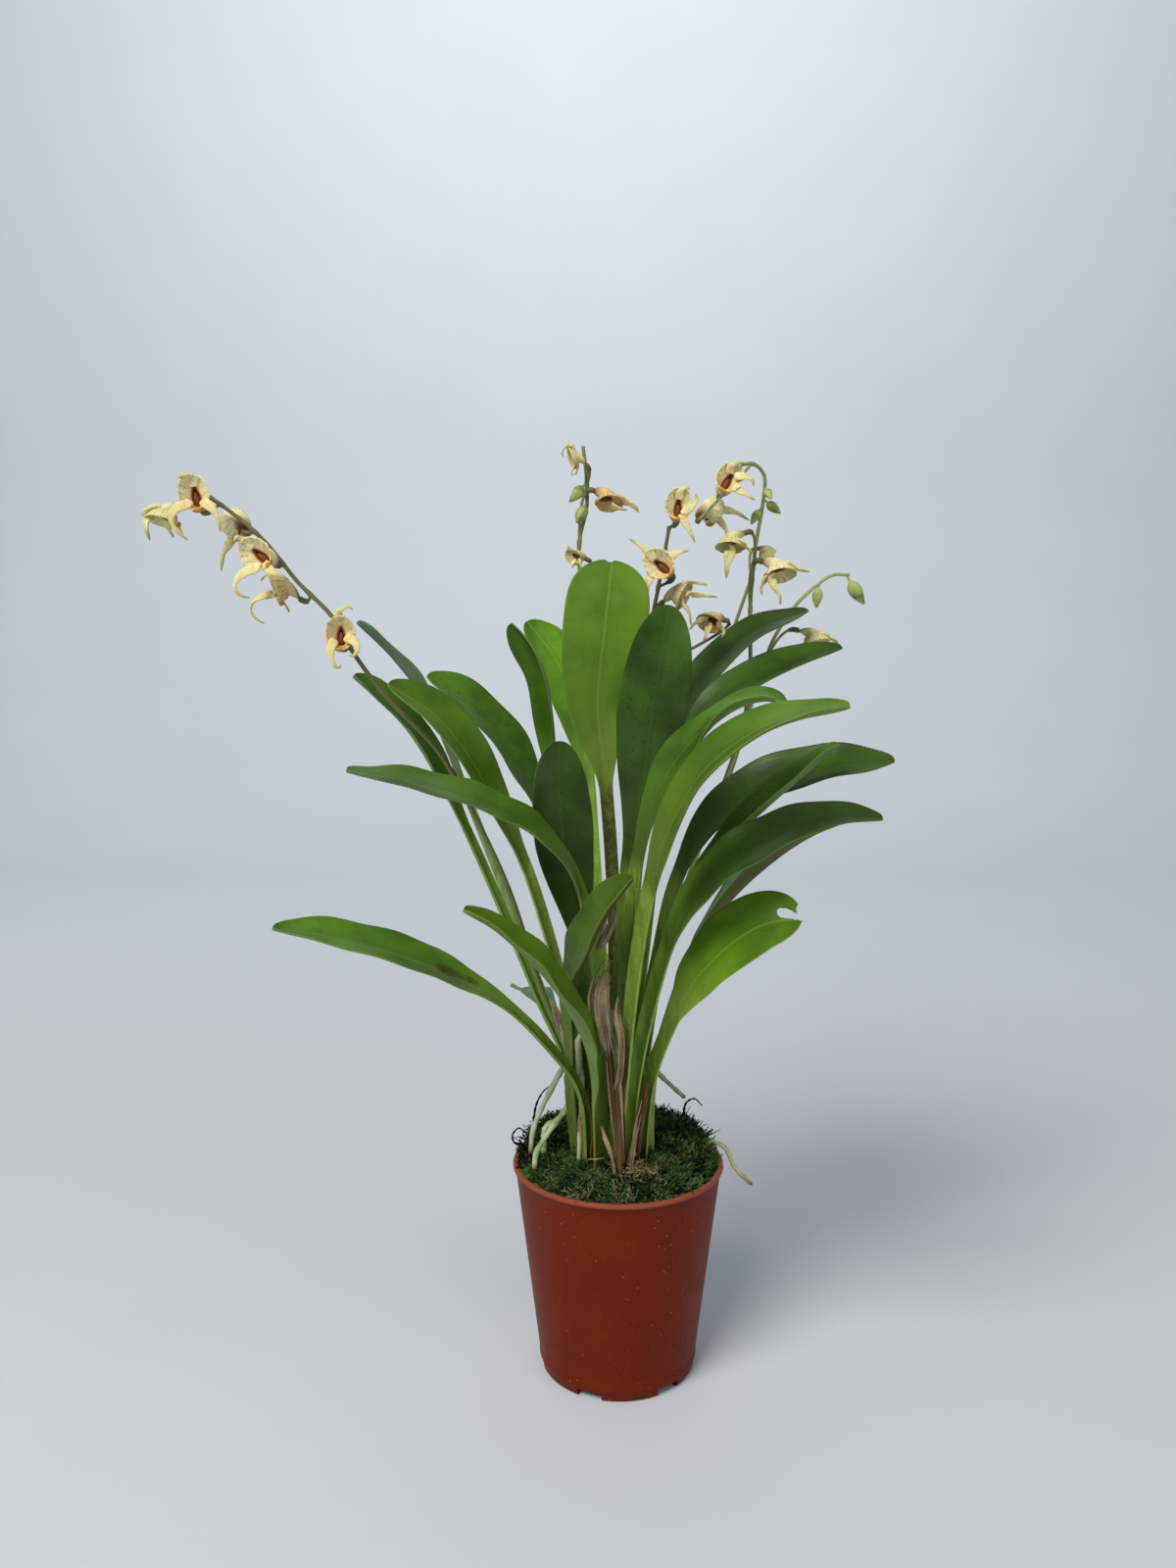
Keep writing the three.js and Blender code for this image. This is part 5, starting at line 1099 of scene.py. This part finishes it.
def husk(path, width, tear, rng, strips, tones):
    line, skin = Line(path), Skin()
    add_strip(skin, line, 0.85 * width, 0.0, -0.3, 0.0, 1 - 0.5 * tear, 0.1, 0.5 * (tones[0] + tones[1]))
    for k in range(strips):
        shift = width * ((k + 0.5) / strips - 0.5)
        broad = width / strips * rng.uniform(1.0, 1.7)
        depth = rng.uniform(-0.5, 0.4) - 0.12 * shift * shift
        start, end = rng.uniform(0, 0.1), 1 - rng.uniform(0, tear)
        add_strip(skin, line, broad, shift, depth, start, end, rng.uniform(0.1, 0.7), rng.uniform(*tones))
    return skin


def husk_material():
    """Dead leaf base: dry, fibrous paper, with fibres about a third of a millimetre apart."""
    m = Finish("papery_husk", 0.85, specular=0.15)
    tone = m.read("tone")
    rib = m.math("ABSOLUTE", m.math("SINE", m.times(m.read("rib"), math.pi / FIBRE_SPACING)))
    brown = m.mix(m.step(tone, 0.0, 0.5), "3A2216", "84623E")
    m.colour = m.mix(m.step(tone, 0.4, 0.85), brown, "C2AC8A")
    m.paint("B4BC90", m.step(tone, 0.95, 1.2))
    m.paint("5A3E28", m.patches(3.5, 0.36, 0.64, detail=5, rough=0.65, stretch=(1, 1, 0.35)), 0.5)
    m.paint("2E1C12", m.step(rib, 0.5, 0.0), 0.5)
    m.paint("2A1A12", m.spots(0.9, 0.18), 0.4)
    return m.done(rib, 0.12)


# %% Sheath rows
HUSK = husk_material()
# Name, solid that it stands for, middle line, width, how far the ends are torn, number of strips, and the
# darkest and lightest tone
HUSK_ROWS = [
    ("fine_sheath_brown", ["sheath_brown"],
     [(0.3, -17, 61), (-0.6, -20.6, 76), (-1.8, -24, 92), (-3, -26, 112)], 3.4, 0.6, 5, (0.1, 0.95)),
    ("husk_upper", [],
     [(-2.9, -24, 97), (-4.8, -27, 107), (-5.8, -29, 115), (-4.3, -29.8, 121.5), (-1.3, -30, 127)],
     5.2, 0.3, 8, (0.55, 1.0)),
    ("husk_right_strip", [],
     [(-1.9, -22, 86), (-0.4, -25.5, 95.7), (-0.2, -27.8, 104), (-1.3, -29, 112), (0.4, -31, 120.7)],
     2.2, 0.3, 4, (0.45, 1.0)),
    ("husk_green", [], [(-6.1, -29, 128), (-3.1, -30.5, 134.5), (-1.9, -31, 141)], 2.6, 0.3, 4, (0.8, 1.2)),
    ("husk_white", [],
     [(-10.8, -10.5, 64), (-10.4, -11.5, 73), (-9.5, -13.5, 80), (-8.3, -15, 87)], 2.0, 0.4, 4, (0.8, 1.1)),
    ("husk_right_red", [],
     [(4.4, -12, 62), (5.2, -13.5, 72), (6.6, -15.5, 83), (8.6, -17, 93), (9.4, -17.5, 97)],
     2.2, 0.5, 4, (0.15, 0.7)),
    ("husk_right_low", [],
     [(2.4, -15.5, 61), (3.2, -17, 69), (4.6, -18.5, 78), (6.4, -19.5, 86)], 1.8, 0.6, 4, (0.4, 1.0)),
    ("husk_front_low", [],
     [(-1.2, -19, 62), (-2.6, -19.8, 69), (-4.6, -20.2, 76), (-6.4, -20.5, 81)], 1.3, 0.4, 3, (0.5, 1.0)),
    ("husk_left_spotted", [], [(-14.8, -11.5, 97), (-16.6, -12.6, 104.6), (-18.7, -13.4, 112)],
     1.8, 0.3, 3, (0.6, 1.1)),
    ("husk_middle_dark", [],
     [(0.8, -15.5, 62), (0.4, -18.5, 76), (1.0, -22, 92), (2.0, -24, 105.6)], 2.0, 0.6, 4, (0.0, 0.5)),
    ("husk_left_middle", [], [(-6.5, -12, 62), (-7, -13.5, 75), (-8.4, -15, 90)], 2.4, 0.6, 4, (0.1, 0.8)),
    ("husk_behind", [], [(-4, 0, 60), (-5, 1, 78), (-6, 3, 96)], 3.6, 0.6, 5, (0.1, 0.7)),
    ("husk_back_right", [], [(3, 17, 62), (5, 20, 78), (8, 23, 92)], 3.0, 0.6, 5, (0.1, 0.8)),
    ("husk_back_left", [], [(-7, 17, 62), (-10, 20, 76), (-13, 23, 88)], 3.0, 0.6, 5, (0.1, 0.8)),
]
husk_rng = random.Random(21)
for name, nodes, path, width, tear, strips, tones in HUSK_ROWS:
    husk(path, width, tear, husk_rng, strips, tones).piece(name, HUSK, "dry_sheath", nodes)
print("husks:", len(HUSK_ROWS))

# %% [markdown]
# ## The pot
# A thin nursery pot of injection-moulded polypropylene: a turned wall, a small rolled lip, a faint ring near
# the foot and six notches where the water drains. The wall is one turned profile, and the notches are cut
# with boxes, as they are cut into the mould.

# %% Pot shape
POT_HEIGHT, POT_RIM_RADIUS, POT_BASE_RADIUS, POT_WALL = 60, 30, 22, 1.0
RIM_BAND, RIM_PROUD, FLOOR_THICKNESS = 1.4, 0.5, 1.4
DRAIN_COUNT, DRAIN_WIDTH, DRAIN_HEIGHT, DRAIN_FIRST = 6, 7, 2.2, -112
POT_AROUND = 144
SHOULDER = POT_HEIGHT - RIM_BAND
FLOOR_RADIUS = POT_BASE_RADIUS - 8  # the flat middle of the floor


def pot_outer(z):
    return POT_BASE_RADIUS + (POT_RIM_RADIUS - RIM_PROUD - POT_BASE_RADIUS) * z / POT_HEIGHT


def wall(z, proud=0.0):
    return pot_outer(z) + proud, z


PROFILE = [
    # The foot, then the faint moulding ring
    (FLOOR_RADIUS, 0.5), (POT_BASE_RADIUS - 2.2, 0.5), (POT_BASE_RADIUS - 1.6, 0.05),
    (POT_BASE_RADIUS - 0.7, 0), (POT_BASE_RADIUS - 0.25, 0.2), wall(0.7),
    wall(2.6), wall(3.0, 0.16), wall(3.4, 0.25), wall(3.8, 0.16), wall(4.2),
    # The wall up to the rolled lip
    *(wall(z) for z in (8, 16, 24, 32, 40, 48, 54, SHOULDER - 0.3)), wall(SHOULDER, 0.1),
    (POT_RIM_RADIUS - 0.12, SHOULDER + 0.14), (POT_RIM_RADIUS, SHOULDER + 0.35),
    (POT_RIM_RADIUS, POT_HEIGHT - 0.45), (POT_RIM_RADIUS - 0.1, POT_HEIGHT - 0.15),
    (POT_RIM_RADIUS - 0.35, POT_HEIGHT), (pot_outer(POT_HEIGHT) - POT_WALL + 0.3, POT_HEIGHT),
    # Down the inside to the floor
    (pot_outer(POT_HEIGHT) - POT_WALL, POT_HEIGHT - 0.3), wall(30, -POT_WALL),
    wall(FLOOR_THICKNESS, -POT_WALL), (FLOOR_RADIUS, FLOOR_THICKNESS),
]


def pot_material():
    """Terracotta-coloured polypropylene: a semi-gloss skin that scuffs to a matt bloom and holds dust."""
    m = Finish("moulded_polypropylene", 0.42, ior=1.49, specular=0.1)
    m.colour = m.mix(m.noise(18, detail=4), "762408", "541703")
    height = add_node(m.tree, "SeparateXYZ", {0: m.place()}).outputs["Z"]
    # A paler band along the top of the rolled lip: a painted highlight.
    m.paint("A05A44", m.step(height, 58.2 * MM, 59.2 * MM), 0.55)
    m.paint("D9C2B2", m.spots(2.4, 0.10, 0.05), 0.55)
    m.paint("C08A72", m.patches(1.4, 0.62, 0.74, detail=5, rough=0.7), 0.2)
    gloss = m.plus(0.36, m.times(m.noise(4, detail=4), 0.2))
    m.tree.links.new(gloss, m.shader.inputs["Roughness"])
    return m.done(m.noise(0.6), 0.03)


def drain_boxes():
    """A box for each notch, half of it below the pot."""
    boxes = bmesh.new()
    for i in range(DRAIN_COUNT):
        angle = math.radians(DRAIN_FIRST + i * 360 / DRAIN_COUNT)
        c, s = math.cos(angle), math.sin(angle)
        for corner in bmesh.ops.create_cube(boxes, size=1)["verts"]:
            x = corner.co.x * 6 + POT_BASE_RADIUS - 0.6
            y, z = corner.co.y * DRAIN_WIDTH, corner.co.z * DRAIN_HEIGHT * 2
            corner.co = Vector((x * c - y * s, x * s + y * c, z)) * MM
    return boxes


turned = Skin()
for r, z in PROFILE:
    for a in turns(POT_AROUND):
        turned.point((r * math.cos(a), r * math.sin(a), z))
turned.close_rings(len(PROFILE), POT_AROUND)
pot = turned.piece("fine_pot", pot_material(), "pot", ["pot"])
cut(pot, drain_boxes())
print("pot faces:", len(pot.data.polygons))

# %% [markdown]
# ## Moss
# The moss is a mound of tiny leafy shoots. A particle system would vanish on export, so every shoot is real:
# a short bent, tapering rod with two leaflets. Thousands of them stand on a lumpy mound that follows the
# solid one.

# %% Moss mound
MOSS_AROUND, MOSS_RINGS, MOSS_FOOT = 140, 48, 51
INNER = pot_outer(POT_HEIGHT) - POT_WALL - 0.3


def moss_top(x, y):
    r = math.hypot(x, y) / POT_RIM_RADIUS
    mound = 5.5 * (1 - r ** 4)
    back = 4.2 * smoothstep(y, -12, 20)
    lumps = 0.9 * math.sin(0.45 * x + 1) * math.cos(0.5 * y + 0.6) + 0.5 * math.sin(1.1 * x - 0.9 * y)
    return 58.6 + mound + back + lumps * (1 - r ** 6)


def moss_lumps(x, y):
    """Cushions a few millimetres across that the shoots stand on."""
    lump = math.sin(0.9 * x + 1.7 * math.sin(0.5 * y)) * math.sin(0.8 * y + 1.3 * math.sin(0.6 * x + 2))
    return 1.1 * lump + 0.5 * math.sin(2.1 * x + 1.3 * y) * math.sin(1.7 * y - 0.9 * x)


def moss_material(name, low, high, fresh, dry):
    """Damp moss: matt leaflets, painted shade dark between the shoots, paler at the tips, some gone tan."""
    m = Finish(name, 0.8, specular=0.2)
    tip = m.read("tip")
    m.colour = m.mix(tip, low, m.mix(m.patches(6, 0.38, 0.66), high, low))
    m.paint(fresh, m.step(m.read("shade"), 0.45, 0.9), tip)
    m.paint(dry, m.math("GREATER_THAN", m.read("dead"), 0.5), tip)
    return m.done(m.noise(0.4, detail=2), 0.08)


# The darkest colour, 10190A, is painted shade: the mound beneath the shoots and the foot of each shoot carry
# it.
MOSS = moss_material("living_moss", "10190A", "466430", "688644", "8C8668")
mound = Skin()
for i in range(MOSS_RINGS + 1):
    reach = INNER * i / MOSS_RINGS
    for a in turns(MOSS_AROUND):
        x, y = reach * math.cos(a), reach * math.sin(a)
        z = moss_top(x, y) - 1.2 + moss_lumps(x, y) * (1 - (i / MOSS_RINGS) ** 4)
        mound.point((x, y, z), shade=0.2, tip=0.15, dead=0.0)
for a in turns(MOSS_AROUND):
    foot = ((INNER - 1) * math.cos(a), (INNER - 1) * math.sin(a), MOSS_FOOT)
    mound.point(foot, shade=0.2, tip=0.0, dead=0.0)
mound.close_rings(MOSS_RINGS + 2, MOSS_AROUND)
mound.piece("fine_moss", MOSS, "moss", ["moss"])

# %% Moss shoots
SHOOTS_IN_A_HALF = 3700


class Growth(Skin):
    """Gathers many small shoots into one mesh. Each is a bent, tapering rod with three sides."""

    def rod(self, place, lean, long, width, bend, tone, low=0.0, dead=0.0):
        side = unit(np.cross(lean, bend))
        other = np.cross(lean, side)
        start = len(self.points)
        for k, (t, w) in enumerate(((0, 0.7), (0.5, 1.0), (0.82, 0.75))):
            centre = place + lean * long * t + bend * long * t * t
            for a in turns(3):
                p = centre + width * w * (math.cos(a + k) * side + math.sin(a + k) * other)
                self.point(p, shade=tone, tip=low + (1 - low) * t, dead=dead)
        self.point(place + (lean + bend) * long, shade=tone, tip=1.0, dead=dead)
        for first in (start, start + 3):
            for j in range(3):
                a, b = first + j, first + (j + 1) % 3
                self.faces.append((a, b, b + 3, a + 3))
        for j in range(3):
            self.faces.append((start + 6 + j, start + 6 + (j + 1) % 3, start + 9))
        self.faces.append((start, start + 1, start + 2))

    def grown(self, name, material):
        self.piece(name, material, "moss", smooth=False)
        print(name, "triangles:", made[name])


def any_way(rng, low, high):
    """A vector in any direction across, with its height between low and high."""
    return np.array([rng.uniform(-1, 1), rng.uniform(-1, 1), rng.uniform(low, high)])


def shoot(growth, x, y, rng, height=1.0, spread=0.7):
    """A stem with two leaflets that stand off it."""
    out = np.array([x, y, 0]) / POT_RIM_RADIUS
    lean = unit(out * 0.6 + np.array([rng.uniform(-spread, spread), rng.uniform(-spread, spread), 1.0]))
    bend = unit(any_way(rng, -0.5, 0.2)) * rng.uniform(0.2, 0.6)
    long = rng.uniform(1.2, 3.0) * height
    cushion = moss_lumps(x, y) * (1 - (math.hypot(x, y) / INNER) ** 4)
    place = np.array([x, y, moss_top(x, y) - 1.5 + cushion])
    tone = rng.random()
    patch = math.sin(0.5 * x + 1.1) * math.sin(0.45 * y + 0.4 * math.sin(0.7 * x))
    front = smoothstep(-y, 12, 26) * (1 - smoothstep(abs(x + 2), 12, 24))
    dead = 1.0 if rng.random() < 0.05 + 0.5 * front * smoothstep(patch, -0.6, 0.8) else 0.0
    tone *= 0.65 + 0.35 * smoothstep(patch, -0.5, 0.6) - 0.4 * front
    growth.rod(place, lean, long, rng.uniform(0.14, 0.26), bend, tone, dead=dead)
    for _ in range(2):
        t = rng.uniform(0.4, 0.95)
        at = place + lean * long * t + bend * long * t * t
        away = unit(lean * 0.6 + any_way(rng, -0.2, 0.6))
        growth.rod(at, away, rng.uniform(0.5, 1.0), rng.uniform(0.1, 0.18),
                   unit(np.cross(away, lean) + 0.01) * 0.2, tone, low=0.5, dead=dead)


moss_rng = random.Random(3)
for name, low, high in (("moss_shoots_front", -math.pi, 0.0), ("moss_shoots_back", 0.0, math.pi)):
    growth = Growth()
    for _ in range(SHOOTS_IN_A_HALF):
        reach = (INNER - 0.2) * math.sqrt(moss_rng.random())
        a = moss_rng.uniform(low, high)
        shoot(growth, reach * math.cos(a), reach * math.sin(a), moss_rng)
    growth.grown(name, MOSS)

# %% [markdown]
# ## Litter on the moss
# Bits of dry straw, bark and dead moss lie among the shoots, pale tan against the dark green, with a heap of
# them in front of the clump. Along the back edge stand blackened, wiry tufts. All are the same small rods.

# %% Litter
LITTER = moss_material("dry_litter", "54482E", "7C6E4A", "9C8C62", "B0A480")
BLACK_TUFT = moss_material("blackened_moss", "0A0C08", "1C2214", "2C3420", "5A5038")
STRAY_BITS, HEAPED_BITS, TUFT_SHOOTS = 150, 170, 620
HEAP = (5.5, -17.5)


def lying(growth, place, lean, long, width, bow, low):
    """A bit of litter that lies on the moss and bows sideways."""
    growth.rod(place, lean, moss_rng.uniform(*long), moss_rng.uniform(*width),
               unit(np.cross(lean, (0, 0, 1)) + 0.01) * bow, moss_rng.random(), low=low)


litter = Growth()
for _ in range(STRAY_BITS):
    reach = (INNER - 1) * math.sqrt(moss_rng.random())
    a = moss_rng.uniform(-math.pi, 0.15)
    x, y = reach * math.cos(a), reach * math.sin(a)
    lean = unit(any_way(moss_rng, -0.1, 0.5))
    place = np.array([x, y, moss_top(x, y) + moss_rng.uniform(-0.3, 1.0)])
    lying(litter, place, lean, (0.4, 1.3), (0.08, 0.2), 0.25, 0.3)
for _ in range(HEAPED_BITS):
    x, y = HEAP[0] + moss_rng.gauss(0, 2.6), HEAP[1] + moss_rng.gauss(0, 1.8)
    place = np.array([x, y, moss_top(x, y) + moss_rng.uniform(0.2, 1.8)])
    lying(litter, place, unit(any_way(moss_rng, -0.2, 0.4)), (1.0, 3.4), (0.12, 0.3), 0.3, 0.6)
straw_lean, straw_bend = unit(np.array([1, -0.15, 0.05])), np.array([0.02, 0.03, 0.12])
litter.rod(np.array([-8.6, -18, 67.4]), straw_lean, 4.6, 0.2, straw_bend, 0.9, low=0.8)
litter.grown("dry_litter", LITTER)
tufts = Growth()
for _ in range(TUFT_SHOOTS):
    a = moss_rng.choice((moss_rng.uniform(0.15, 1.2), moss_rng.uniform(2.4, 3.3)))
    reach = INNER * moss_rng.uniform(0.72, 0.985)
    shoot(tufts, reach * math.cos(a), reach * math.sin(a), moss_rng, height=1.35, spread=0.9)
tufts.grown("black_tufts", BLACK_TUFT)

# %% Dead curled roots and a young one
# Thin blackened roots that curl out of the moss: name and line
WISP_ROWS = [
    ("dead_root_high", [(-24.3, 6, 67), (-24.3, 6, 69.8), (-23.5, 8, 73.4), (-21.3, 10, 76.5),
                        (-19.5, 10, 77.7)]),
    ("dead_root_curl", [(-26.5, 1, 62), (-27.1, 0, 64), (-29.6, -1, 65), (-30.2, 0, 66.9), (-28.4, 2, 68.1),
                        (-26.8, 2, 66.6)]),
    ("dead_root_right", [(20, 17, 66), (21, 18, 69.5), (23.4, 17.4, 71), (25.6, 16, 69.4)]),
]


def wisp_radius(t):
    return 0.42 * (1 - 0.6 * t) * (1 + 0.2 * math.sin(40 * t))


def young_radius(t):
    return 0.8 * (1 - 0.35 * t) * (1 - 0.85 * smoothstep(t, 0.9, 1))


for name, path in WISP_ROWS:
    wisp = Skin()
    wisp.tube(Line(path), rings=50, sides=8, radius=wisp_radius, shade=0.1, tip=own_share, dead=0.0)
    wisp.piece(name, BLACK_TUFT, "moss")
# A fresh green root tip stands beside the clump
young = Skin()
young_line = Line([(4.3, -12, 66), (4.6, -12, 71), (5.4, -13, 74.5), (6.2, -13.6, 79.1)])
young.tube(young_line, rings=40, sides=12, radius=young_radius, share=0.0, dried=0.0)
young.piece("young_root_right", ROOT, "air_root")
print("small roots:", len(WISP_ROWS) + 1)

# %% [markdown]
# ## What stays from the solids
# The potting mix and the rhizome are hidden under the moss. They keep their solids, with a bark-and-fibre
# finish and a woody one.

# %% Hidden pieces
def crumb_material(name, light, dark, grain_mm, roughness):
    m = Finish(name, roughness)
    m.colour = m.mix(m.patches(grain_mm, 0.35, 0.65, detail=5, rough=0.7), dark, light)
    return m.done(m.noise(grain_mm, detail=4), 0.5)


for node, material in (("potting_mix", crumb_material("bark_and_fibre", "7A5E42", "2E2218", 3.0, 0.9)),
                       ("rhizome", crumb_material("woody_rhizome", "8A8450", "4E4A2C", 1.5, 0.8))):
    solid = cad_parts[node]
    solid.data.materials.clear()
    solid.data.materials.append(material)
    print(node, "keeps its solid")

# %% [markdown]
# ## Floor, backdrop and light
# The plant stands on a plain pale floor that curves up into a backdrop. A large soft light from the upper
# left and a weak one from the right give the even light of a bright room, and a third, above and behind
# the plant, lights the backdrop.

# %% Stage
STAGE_COLOUR = "CDD2D6"
PLANT_MIDDLE = (0, 0, 0.14)


def stage_material():
    m = Finish("pale_paper", 0.9)
    m.colour = m.mix(m.noise(120, detail=2), STAGE_COLOUR, "C8CDD1")
    return m.done()


def sweep(front, back, height, bend, half_width):
    """A sheet that runs from front to back along the floor and curves up behind, in metres."""
    turns = np.linspace(0.1, math.pi / 2, 14)
    rows = [(front, 0.0), (back - bend, 0.0)]
    rows += [(back - bend + bend * math.sin(a), bend - bend * math.cos(a)) for a in turns]
    rows.append((back, height))
    points = [(x, y, z) for y, z in rows for x in (-half_width, half_width)]
    faces = [(2 * i, 2 * i + 1, 2 * i + 3, 2 * i + 2) for i in range(len(rows) - 1)]
    mesh = bpy.data.meshes.new("sweep")
    mesh.from_pydata(points, [], faces)
    mesh.polygons.foreach_set("use_smooth", [True] * len(mesh.polygons))
    mesh.materials.append(stage_material())
    sheet = add_object("sweep", mesh)
    sheet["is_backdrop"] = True


def soft_light(name, place, target, size, power, colour):
    light = bpy.data.lights.new(name, "AREA")
    light.shape, light.size, light.energy = "DISK", size, power
    light.color = linear(colour)[:3]
    lamp = add_object(name, light)
    lamp.location = Vector(place)
    lamp.rotation_euler = (Vector(target) - Vector(place)).to_track_quat("-Z", "Y").to_euler()


sweep(-1.2, 1.3, 2.2, 0.5, 2.6)
soft_light("window", (-0.55, -0.85, 1.15), PLANT_MIDDLE, 0.8, 19.5, "FFFDF6")
soft_light("fill", (0.8, -0.9, 0.5), PLANT_MIDDLE, 0.8, 3.2, "F2F5FF")
soft_light("back_wall", (0, 0.35, 1.4), (0, 1.3, 1.25), 1.2, 11, "F4F7FF")
world = bpy.data.worlds.new("room")
world.use_nodes = True
world.node_tree.nodes["Background"].inputs["Color"].default_value = linear("E4E9F2")
world.node_tree.nodes["Background"].inputs["Strength"].default_value = 0.33
bpy.context.scene.world = world
bpy.context.scene.view_settings.view_transform = "Standard"
print("stage and lights ready")

# %% [markdown]
# ## Sizes and the end
# The finished part's box is written beside the solids' box, so that the two can be compared.

# %% Sizes
dressed_box = [list(corner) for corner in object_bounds()]
for label, box in (("CAD box", cad_box), ("dressed box", dressed_box)):
    print(label, [[round(v * 1000, 1) for v in corner] for corner in box])
print("triangles in all:", sum(made.values()))
